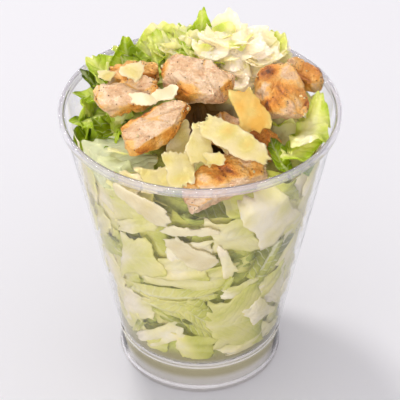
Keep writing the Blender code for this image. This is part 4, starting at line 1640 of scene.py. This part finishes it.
@dataclass(frozen=True)
class WallLeaf:
    """One cut leaf pressed against the wall, by the angle and height of its four corners.

    The first two corners are one end of its veins, and the last two the other end.
    """

    corners: tuple[Pair, Pair, Pair, Pair]
    seed: int
    kind: Kind = Kind.PALE
    depth: float = 0.8
    folds: float = 0.2
    veined: float = 0.5
    thickness: float = 0.3

    @staticmethod
    def tilted(place: Triple, size: Pair, seed: int, kind: Kind, depth: float, folds: float) -> WallLeaf:
        """Leaf from a leaning rectangle with its corners moved.

        Args:
            place: angle, height and lean.
            size: length and width.
            seed: choice of the moves.
            kind: its usual tone.
            depth: how far in from the wall it lies.
            folds: height of its folds.

        Returns:
            The leaf.
        """
        angle, height, lean = place
        draw = np.random.default_rng(seed + 7000)
        ends = np.array(((-1, -1), (-1, 1), (1, -1), (1, 1))) + draw.uniform(-0.25, 0.25, (4, 2))
        along, across = 0.5 * size[0] * ends[:, 0], 0.5 * size[1] * ends[:, 1]
        tilt = math.radians(lean)
        side = along * math.cos(tilt) - across * math.sin(tilt)
        up = height + along * math.sin(tilt) + across * math.cos(tilt)
        turn = angle + np.degrees(side / float(WALL.radius(np.array(height))))
        return WallLeaf(tuple(zip(turn.tolist(), up.tolist())), seed, kind, depth, folds)

    def surface(self, rows: int, columns: int, room: Clearance) -> tuple[Array, Array, Array]:
        """Middle surface against the wall.

        The patch runs evenly between its four corners, with gently bowed edges. It lies in from
        the wall by its depth and by folds that run along it, and behind any topping there.

        Args:
            rows: number of rows along.
            columns: number of columns across.
            room: the space that the toppings take up.

        Returns:
            The grid, its own coordinates, and its tone.
        """
        phases = np.random.default_rng(self.seed).uniform(0.0, TURN, 8)
        turns, heights = np.array(self.corners, float).T
        middle, level = turns.mean(), heights.mean()
        flat = np.stack((np.radians(turns - middle) * float(WALL.radius(level)), heights), axis=-1)
        u = np.linspace(-1.0, 1.0, rows)[:, None]
        v = np.linspace(-1.0, 1.0, columns)[None, :]
        weight = np.stack(((1 - u) * (1 - v), (1 - u) * (1 + v), (1 + u) * (1 - v), (1 + u) * (1 + v)), axis=-1) / 4.0
        lengthwise = (flat[2] + flat[3] - flat[0] - flat[1]) / 2.0
        crosswise = (flat[1] + flat[3] - flat[0] - flat[2]) / 2.0
        bow = 0.07 * np.sin(3.1 * u + phases[0]) * v * np.abs(v)
        bow = bow + 0.016 * np.sin(13.0 * u + phases[1]) * np.abs(v) ** 5
        bulge = 0.05 * np.sin(4.0 * v + phases[2]) * u * np.abs(u)
        bulge = bulge + 0.014 * np.sin(15.0 * v + phases[3]) * np.abs(u) ** 5
        sheet = weight @ flat + bow[..., None] * crosswise + bulge[..., None] * lengthwise
        length, width = float(np.linalg.norm(lengthwise)), float(np.linalg.norm(crosswise))
        along, across = 0.5 * length * (1.0 + u) + 0.0 * v, 0.5 * width * v + 0.0 * u
        own = np.stack((along, across, np.full(along.shape, self.seed * 3.0)), axis=-1)
        side, up = sheet[..., 0], np.clip(sheet[..., 1], WALL.foot_height + 0.3, 101.0)
        fold = self.folds * (1.0 + np.sin(TURN * across / 5.0 + 1.4 * u + phases[4]))
        fold = fold + 0.22 * (1.0 + np.sin(2.1 * u + 1.6 * v + phases[5])) + 0.06 * ripple(own, 3.6, self.seed + 5, 8)
        depth = self.depth + fold + 0.5 * np.maximum(np.abs(u), np.abs(v)) ** 6 * np.sin(3.0 * (u + v) + phases[6]) ** 2
        deeper = room.behind(WALL.points(middle, side, up, depth))
        depth = np.maximum(depth, deeper + (0.5 + 0.6 * self.depth + 0.5 * fold) * step(0.0, 0.8, deeper))
        tone = self.kind.value + 0.10 * np.abs(v) + 0.12 * u + 0.10 * ripple(own, 11.0, self.seed + 8, 6)
        return WALL.points(middle, side, up, depth), own, np.clip(tone, 0.0, 1.0)

    def values(self, tone: Array) -> dict[str, Array]:
        """What the finish reads at each point: the tone and how veined it is."""
        return {"tone": tone, "veined": np.full(tone.shape, self.veined)}


# Angle and height of each corner, seed and kind, then the depth, the folds and how veined it is.
FRONT_WALL_LEAVES = (
    WallLeaf(((-137, 98), (-136, 79), (-116, 100), (-108, 90)), 201, Kind.LIGHT, 1.6),
    WallLeaf(((-133, 81), (-133, 76), (-110, 92), (-112, 83)), 202, Kind.PALE, 0.9),
    WallLeaf(((-107, 79), (-105, 70), (-84, 81), (-86, 70)), 203, Kind.HEART, 0.9),
    WallLeaf(((-111, 69), (-117, 58), (-84, 73), (-87, 60)), 204, Kind.PALE, 1.2),
    WallLeaf(((-130, 77), (-140, 51), (-116, 77), (-108, 63)), 205, Kind.PALE, 0.5, 0.1),
    WallLeaf(((-110, 66), (-124, 53), (-72, 66), (-78, 54)), 206, Kind.PALE, 1.9),
    WallLeaf(((-144, 48), (-129, 43), (-78, 57), (-86, 48)), 207, Kind.LIGHT, 1.5, 0.4, 1.3),
    WallLeaf(((-129, 47), (-121, 39), (-87, 49), (-95, 33)), 208, Kind.LIGHT, 1.1, 0.5, 1.4),
    WallLeaf(((-95, 51), (-104, 40), (-82, 45), (-79, 22)), 209, Kind.BRIGHT, 0.7, 0.5, 1.4),
    WallLeaf(((-121, 41), (-115, 37), (-92, 38), (-99, 33)), 210, Kind.GREEN, 0.95),
    WallLeaf(((-144, 43), (-152, 23), (-121, 46), (-121, 33)), 211, Kind.HEART, 1.4),
    WallLeaf(((-142, 18), (-126, 18), (-104, 39), (-98, 28)), 212, Kind.HEART, 0.8),
    WallLeaf(((-147, 18), (-139, 21), (-136, 29), (-128, 30)), 213, Kind.BRIGHT, 1.2),
    WallLeaf(((-108, 31), (-103, 17), (-79, 28), (-84, 14)), 214, Kind.LIGHT, 0.5, 0.15, 0.2),
    WallLeaf(((-133, 20), (-127, 15), (-110, 26), (-117, 14)), 215, Kind.LIGHT, 1.0),
    WallLeaf(((-87, 48), (-81, 22), (-54, 53), (-39, 16)), 216, Kind.LIGHT, 0.7, 0.12),
    WallLeaf(((-66, 41), (-53, 30), (-52, 44), (-33, 30)), 217, Kind.HEART, 0.45, 0.1),
    WallLeaf(((-71, 19), (-40, 13), (-47, 28), (-15, 17)), 218, Kind.PALE, 1.0),
    WallLeaf(((-81, 22), (-67, 14), (-44, 23), (-33, 10)), 219, Kind.PALE, 1.1),
    WallLeaf(((-65, 59), (-53, 50), (-56, 74), (-35, 69)), 220, Kind.GREEN, 0.6, 0.7, 1.6),
    WallLeaf(((-56, 50), (-50, 42), (-37, 57), (-27, 47)), 221, Kind.LIGHT, 1.3),
    WallLeaf(((-82, 78), (-77, 60), (-78, 77), (-70, 63)), 222, Kind.HEART, 0.6, 0.1),
    WallLeaf(((-87, 90), (-82, 74), (-68, 89), (-58, 72)), 223, Kind.PALE, 1.3),
    WallLeaf(((-71, 91), (-58, 72), (-56, 100), (-32, 77)), 224, Kind.HEART, 0.4, 0.1, 0.15),
    WallLeaf(((-80, 96), (-72, 89), (-55, 99), (-56, 88)), 225, Kind.BRIGHT, 1.9),
    WallLeaf(((-56, 100), (-51, 92), (-43, 98), (-36, 86)), 226, Kind.BRIGHT, 1.6),
    WallLeaf(((-46, 89), (-43, 70), (-32, 85), (-25, 62)), 227, Kind.LIGHT, 1.7),
    WallLeaf(((-142, 71), (-149, 47), (-131, 77), (-136, 52)), 228, Kind.LIGHT, 2.0),
    WallLeaf(((-54, 50), (-49, 39), (-34, 55), (-20, 28)), 229, Kind.HEART, 1.3),
    WallLeaf(((-78, 55), (-76, 49), (-55, 56), (-48, 42)), 230, Kind.PALE, 1.2),
    WallLeaf(((-79, 55), (-76, 54), (-74, 62), (-71, 60)), 231, Kind.BRIGHT, 0.7),
    WallLeaf(((-92, 96), (-92, 91), (-71, 98), (-70, 89)), 232, Kind.DARK, 3.0),
    WallLeaf(((-139, 59), (-143, 41), (-128, 63), (-129, 47)), 233, Kind.LIGHT, 2.2),
    WallLeaf(((-152, 33), (-160, 13), (-136, 40), (-138, 22)), 234, Kind.PALE, 2.0),
)


@dataclass
class Lettuce:
    """The heap: a packed core with all the cut leaves over it and against the wall."""

    base: float = 13.55
    side_gap: float = 4.8
    edge: float = 96.5
    crown: float = 15.0
    reach: float = 44.0
    slope: float = 4.0
    ridge: float = 9.0
    ridge_centre: tuple[float, float] = (4.0, 25.0)
    ridge_spread: tuple[float, float] = (30.0, 13.0)
    back_heights: tuple[float, ...] = (34.0, 66.0)
    back_angles: tuple[float, ...] = (0.0, 34.0, 68.0, 102.0, 136.0, 170.0)
    loose_tries: int = 440
    wall_layers: int = 3
    core_sides: int = 160
    core_rows: tuple[int, int] = (64, 46)
    shoulder: float = 90.0
    deepest_dip: float = 88.5
    scatter_reach: float = 44.5
    rim_level: float = 108.6
    most_out: float = 47.5
    most_up: float = 124.5
    topping_gap: float = 0.5
    loose_thickness: float = 0.35
    packed_heights: tuple[float, float, int] = (20.0, 88.0, 6)
    heap_grid: tuple[int, int] = (40, 26)
    loose_grid: tuple[int, int] = (19, 12)
    wall_grid: tuple[int, int] = (30, 22)
    packed_grid: tuple[int, int] = (17, 12)

    def level(self, x: Array, y: Array) -> Array:
        """Height of the heap: a low dome that rises to the back, with a ridge on it.

        Args:
            x: places to the right.
            y: places to the back.

        Returns:
            The heights.
        """
        dome = self.crown * (1.0 - (x * x + y * y) / self.reach**2) + self.slope * y / self.reach
        beside = (x - self.ridge_centre[0]) / self.ridge_spread[0]
        behind = (y - self.ridge_centre[1]) / self.ridge_spread[1]
        return self.edge + dome + self.ridge * np.exp(-(beside**2) - behind**2)

    def core(self, room: Clearance, effects: Effects) -> None:
        """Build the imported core.

        Its sides follow the wall some way in, and its top follows the heap's level, less a
        little, and stays under the toppings. Noise makes both lumpy.

        Args:
            room: the space that the toppings take up.
            effects: the shared node groups.
        """
        foot = self.base + 0.2
        side_rows, top_rows = self.core_rows
        angle = np.arange(self.core_sides) * (TURN / self.core_sides)
        ring = np.stack((np.cos(angle), np.sin(angle)), axis=-1)
        height = np.linspace(foot, self.shoulder, side_rows)[:, None] + 0.0 * angle
        drum = np.stack((30 * ring[None, :, 0] + 0 * height, 30 * ring[None, :, 1] + 0 * height, height), axis=-1)
        lumps = 0.7 * ripple(drum, 9.0, 5, 9)
        gap = self.side_gap - 3.4 * (1.0 - step(15.0, 27.0, height))
        radius = WALL.radius(np.maximum(height, 17.0)) - gap + lumps * step(14.0, 27.0, height)
        sides = np.stack((radius * ring[:, 0], radius * ring[:, 1], height), axis=-1)
        share = (np.linspace(0.985, 0.03, top_rows) ** 0.9)[:, None]
        x, y = radius[-1] * share * ring[:, 0], radius[-1] * share * ring[:, 1]
        top = np.stack((x, y, self.level(x, y) - 2.4), axis=-1)
        top[..., 2] += 1.1 * ripple(top, 13.0, 9) + 0.5 * ripple(top, 5.0, 10, 9)
        top[..., 2] = np.minimum(top[..., 2], np.maximum(room.underside(top) - 1.0, self.deepest_dip))
        rings = np.concatenate((sides, top))
        poles = np.array(((0.0, 0.0, foot), (0.0, 0.0, top[-1, :, 2].mean())))
        skin = Skin()
        skin.add_rings(rings, poles, rings, {})
        skin.piece("lettuce_core", CoreFinish().material(effects), "lettuce", ("lettuce",))

    def loose(self) -> list[Leaf]:
        """Small leaves scattered over the heap, toned by where they lie.

        Every fourth one goes to the cream part at the back right and every fourth to the back left.

        Returns:
            The leaves.
        """
        draw = np.random.default_rng(4242)
        leaves = []
        for number in range(self.loose_tries):
            angle, out = draw.uniform(0.0, TURN), self.scatter_reach * math.sqrt(draw.uniform())
            x, y = out * math.cos(angle), out * math.sin(angle)
            if number % 4 == 0:
                x, y = draw.uniform(2.0, 28.0), draw.uniform(2.0, 30.0)
            if number % 4 == 1:
                x, y = draw.uniform(-28.0, 2.0), draw.uniform(14.0, 33.0)
            turns = (draw.uniform(0, 360), draw.uniform(-20, 24), draw.uniform(-24, 24))
            length, width = draw.uniform(13, 21), draw.uniform(9, 14.5)
            lift = draw.uniform(*self.lift_range(x, y))
            kind = self.kind_at(x, y, draw)
            leaves.append(
                Leaf(
                    (x, y, float(self.level(np.array(x), np.array(y))) + lift),
                    turns,
                    length,
                    width,
                    curl=draw.uniform(25, 60),
                    cup=draw.choice((-1, 1)) * draw.uniform(20, 50),
                    twist=draw.uniform(-20, 20),
                    ruffle=draw.uniform(0.7, 1.6),
                    waves=draw.uniform(1.2, 1.8),
                    seed=1000 + number,
                    kind=kind,
                    thickness=self.loose_thickness,
                )
            )
        return leaves

    def lift_range(self, x: float, y: float) -> tuple[float, float]:
        """Least and most height over the heap's level of a loose leaf at a place.

        Args:
            x: place to the right.
            y: place to the back.

        Returns:
            The least and the most.
        """
        if x > 3 and y > 3:
            return -1.4, 3.2
        if y > 14:
            return -3.4, 0.4
        if x < 8 and y < -8:
            return -6.0, -4.0
        return -2.6, 0.2

    def kind_at(self, x: float, y: float, draw: np.random.Generator) -> Kind:
        """Usual kind of leaf at a place on the heap.

        Args:
            x: place to the right.
            y: place to the back.
            draw: source of the random draws.

        Returns:
            The kind.
        """
        if x < -14 and -8 < y < 16:
            choices = (Kind.DARK, Kind.GREEN, Kind.GREEN, Kind.BRIGHT)
        elif x < 6 and y <= -8:
            choices = (Kind.HEART, Kind.PALE, Kind.PALE, Kind.LIGHT)
        elif x > 3 and y > 3:
            choices = (Kind.HEART, Kind.HEART, Kind.PALE)
        elif y > 14:
            choices = (Kind.BRIGHT, Kind.LIGHT, Kind.LIGHT, Kind.PALE)
        else:
            choices = (Kind.LIGHT, Kind.BRIGHT, Kind.LIGHT, Kind.GREEN)
        return choices[int(draw.integers(len(choices)))]

    def clear(self, grid: Array, room: Clearance) -> bool:
        """Whether a loose leaf keeps clear of the toppings and of the wall.

        Args:
            grid: middle surface of the leaf.
            room: the space that the toppings take up.

        Returns:
            True where it keeps clear.
        """
        out, level = np.hypot(grid[..., 0], grid[..., 1]), grid[..., 2]
        inside = WALL.radius(np.minimum(level, 105.0)) - 0.6
        limit = np.where(level < self.rim_level, inside, self.most_out)
        free = not room.blocked(grid, self.topping_gap).any()
        return bool(free and (out < limit).all() and level.max() < self.most_up)

    def packed(self) -> list[WallLeaf]:
        """Leaves that fill the wall in layers, the deepest first, greener and darker at the front and back: outer
        leaves, and painted shade in the gaps.

        On the side that the listed leaves cover, only the deep ones are laid.

        Returns:
            The leaves.
        """
        draw = np.random.default_rng(909)
        # Greener, darker kinds for the deepest layer at the front and back: outer leaves, and painted shade in the gaps
        # between the leaves before them.
        deep = (Kind.GREEN, Kind.BRIGHT, Kind.BRIGHT)
        outer = (Kind.PALE, Kind.LIGHT, Kind.PALE, Kind.BRIGHT, Kind.HEART)
        leaves = []
        for layer in range(self.wall_layers):
            for row, height in enumerate(np.linspace(*self.packed_heights)):
                for number in range(9 + row):
                    angle = 360.0 * (number + draw.uniform(-0.35, 0.35)) / (9 + row) + 14.0 * layer
                    place = (angle, height + draw.uniform(-5.0, 5.0), draw.uniform(-80.0, 80.0))
                    size = (draw.uniform(16.0, 25.0), draw.uniform(10.0, 15.0))
                    inside = layer == 0 and abs(math.cos(math.radians(angle))) < 0.8
                    kind = deep[int(draw.integers(len(deep)))] if inside else outer[int(draw.integers(len(outer)))]
                    depth = 3.6 - 1.1 * layer + draw.uniform(0.0, 0.5)
                    if layer == 0 or math.sin(math.radians(angle)) > -0.66:
                        seed = 2000 + 200 * layer + 20 * row + number
                        leaves.append(WallLeaf.tilted(place, size, seed, kind, depth, draw.uniform(0.1, 0.4)))
        return leaves

    def back(self) -> list[WallLeaf]:
        """Leaves in two rows round the wall.

        Returns:
            The leaves.
        """
        return [
            WallLeaf.tilted(
                (angle + 14.0 * i, height + 5.0 * (j % 2), 35.0 * ((i + j) % 3 - 1)),
                (26, 15),
                300 + 10 * i + j,
                Kind.PALE,
                0.6,
                0.2,
            )
            for i, height in enumerate(self.back_heights)
            for j, angle in enumerate(self.back_angles)
        ]

    def build(self, room: Clearance, effects: Effects) -> None:
        """Build the core and all the leaves.

        Args:
            room: the space that the toppings take up.
            effects: the shared node groups.
        """
        self.core(room, effects)
        laid = [(leaf, leaf.surface(*self.heap_grid)) for leaf in HEAP_LEAVES]
        loose = [(leaf, leaf.surface(*self.loose_grid)) for leaf in self.loose()]
        loose = [(leaf, surface) for leaf, surface in loose if self.clear(surface[0], room)]
        wall = [(leaf, leaf.surface(*self.wall_grid, room)) for leaf in (*FRONT_WALL_LEAVES, *self.back())]
        packed = [(leaf, leaf.surface(*self.packed_grid, room)) for leaf in self.packed()]
        # The leaves at the wall take the paler finish, with its painted light.
        fresh, pressed = LEAF.material(effects), PRESSED_PAINTED_LIGHT.material(effects)
        for name, finish, leaves in (
            ("heap_leaves", fresh, laid),
            ("loose_leaves", fresh, loose),
            ("wall_leaves", pressed, wall),
            ("packed_leaves", pressed, packed),
        ):
            skin = Skin()
            for leaf, (grid, own, tone) in leaves:
                skin.add_plate(grid, leaf.thickness, own, leaf.values(tone))
            skin.piece(name, finish, "lettuce", ("lettuce",))


@dataclass(frozen=True)
class Lamp:
    """One soft round lamp that points at the salad."""

    name: str
    place: Triple
    size: float
    power: float
    colour: Colour = (1.0, 1.0, 1.0)
    aim: Triple = (0.0, 0.0, 0.06)
    mirrored: bool = True

    def build(self) -> None:
        """Add the lamp, mirrored in shiny surfaces or not."""
        light = bpy.data.lights.new(self.name, "AREA")
        light.shape = "DISK"
        light.size = self.size
        light.energy = self.power
        light.color = self.colour
        holder = bpy.data.objects.new(self.name, light)
        holder.location = self.place
        holder.rotation_euler = (Vector(self.aim) - Vector(self.place)).to_track_quat("-Z", "Y").to_euler()
        holder.visible_camera = False
        holder.visible_glossy = self.mirrored
        holder.visible_transmission = False
        bpy.context.scene.collection.objects.link(holder)


@dataclass
class Studio:
    """Camera, pale floor and soft light."""

    camera_place: Triple = (0.0, -0.47758, 0.43737)
    camera_tilt: float = 52.174
    lens: float = 151.06
    floor_side: float = 6.0
    floor_colour: Colour = (0.862, 0.853, 0.885)
    floor_patches: Colour = (0.8, 0.8, 0.84)
    sky: Colour = (0.80, 0.785, 0.805)
    lamps: tuple[Lamp, ...] = (
        Lamp("key", (-0.30, 0.40, 1.15), 0.20, 4.2, (1.0, 0.985, 0.955)),
        Lamp("fill", (-0.30, -1.05, 0.33), 0.7, 8.5, (1.0, 0.985, 0.965), mirrored=False),
        Lamp("foot", (0.0, 0.0, 0.0118), 0.054, 0.0045, (1.0, 0.93, 0.83), (0.0, 0.0, 0.0), mirrored=False),
    )

    def camera(self) -> None:
        """Add the camera at the photograph's viewing angle."""
        data = bpy.data.cameras.new("camera")
        data.lens = self.lens
        data.sensor_width = 36.0
        holder = bpy.data.objects.new("camera", data)
        holder.location = self.camera_place
        holder.rotation_euler = (math.radians(self.camera_tilt), 0.0, 0.0)
        bpy.context.scene.collection.objects.link(holder)
        bpy.context.scene.camera = holder

    def floor(self) -> None:
        """Add the pale floor, with a faint unevenness."""
        half = 0.5 * self.floor_side
        corners = [(-half, -half, 0.0), (half, -half, 0.0), (half, half, 0.0), (-half, half, 0.0)]
        mesh = bpy.data.meshes.new("floor")
        mesh.from_pydata(corners, [], [(0, 1, 2, 3)])
        tree = FinishTree("pale_floor")
        patchy = tree.maths("MULTIPLY", tree.noise(tree.place(), 6.0, 2.0), 0.06)
        colour = tree.mix(patchy, self.floor_colour, self.floor_patches)
        mesh.materials.append(
            tree.done(tree.shader("Principled", Base_Color=colour, Roughness=0.8, Specular_IOR_Level=0.2))
        )
        floor = bpy.data.objects.new("floor", mesh)
        bpy.context.scene.collection.objects.link(floor)

    def keep_fill_off_floor(self) -> None:
        """Let the fill light the salad alone, so that the floor shows the key's shadow only."""
        salad = bpy.data.collections.new("salad")
        for piece in bpy.context.scene.objects:
            if piece.type == "MESH" and piece.name != "floor":
                salad.objects.link(piece)
        bpy.data.objects["fill"].light_linking.receiver_collection = salad

    def build(self) -> None:
        """Add everything, and show colours as they are."""
        self.camera()
        self.floor()
        for lamp in self.lamps:
            lamp.build()
        world = bpy.data.worlds.new("soft_light")
        world.use_nodes = True
        world.node_tree.nodes["Background"].inputs[0].default_value = (*self.sky, 1.0)
        bpy.context.scene.world = world
        bpy.context.scene.view_settings.view_transform = "Standard"


def main() -> None:
    """Build every sub-assembly in order."""
    effects = Effects()
    studio = Studio()
    studio.build()
    ClearCup().build(effects)
    room = Toppings().build(effects)
    Lettuce().build(room, effects)
    studio.keep_fill_off_floor()


if __name__ == "__main__":
    main()
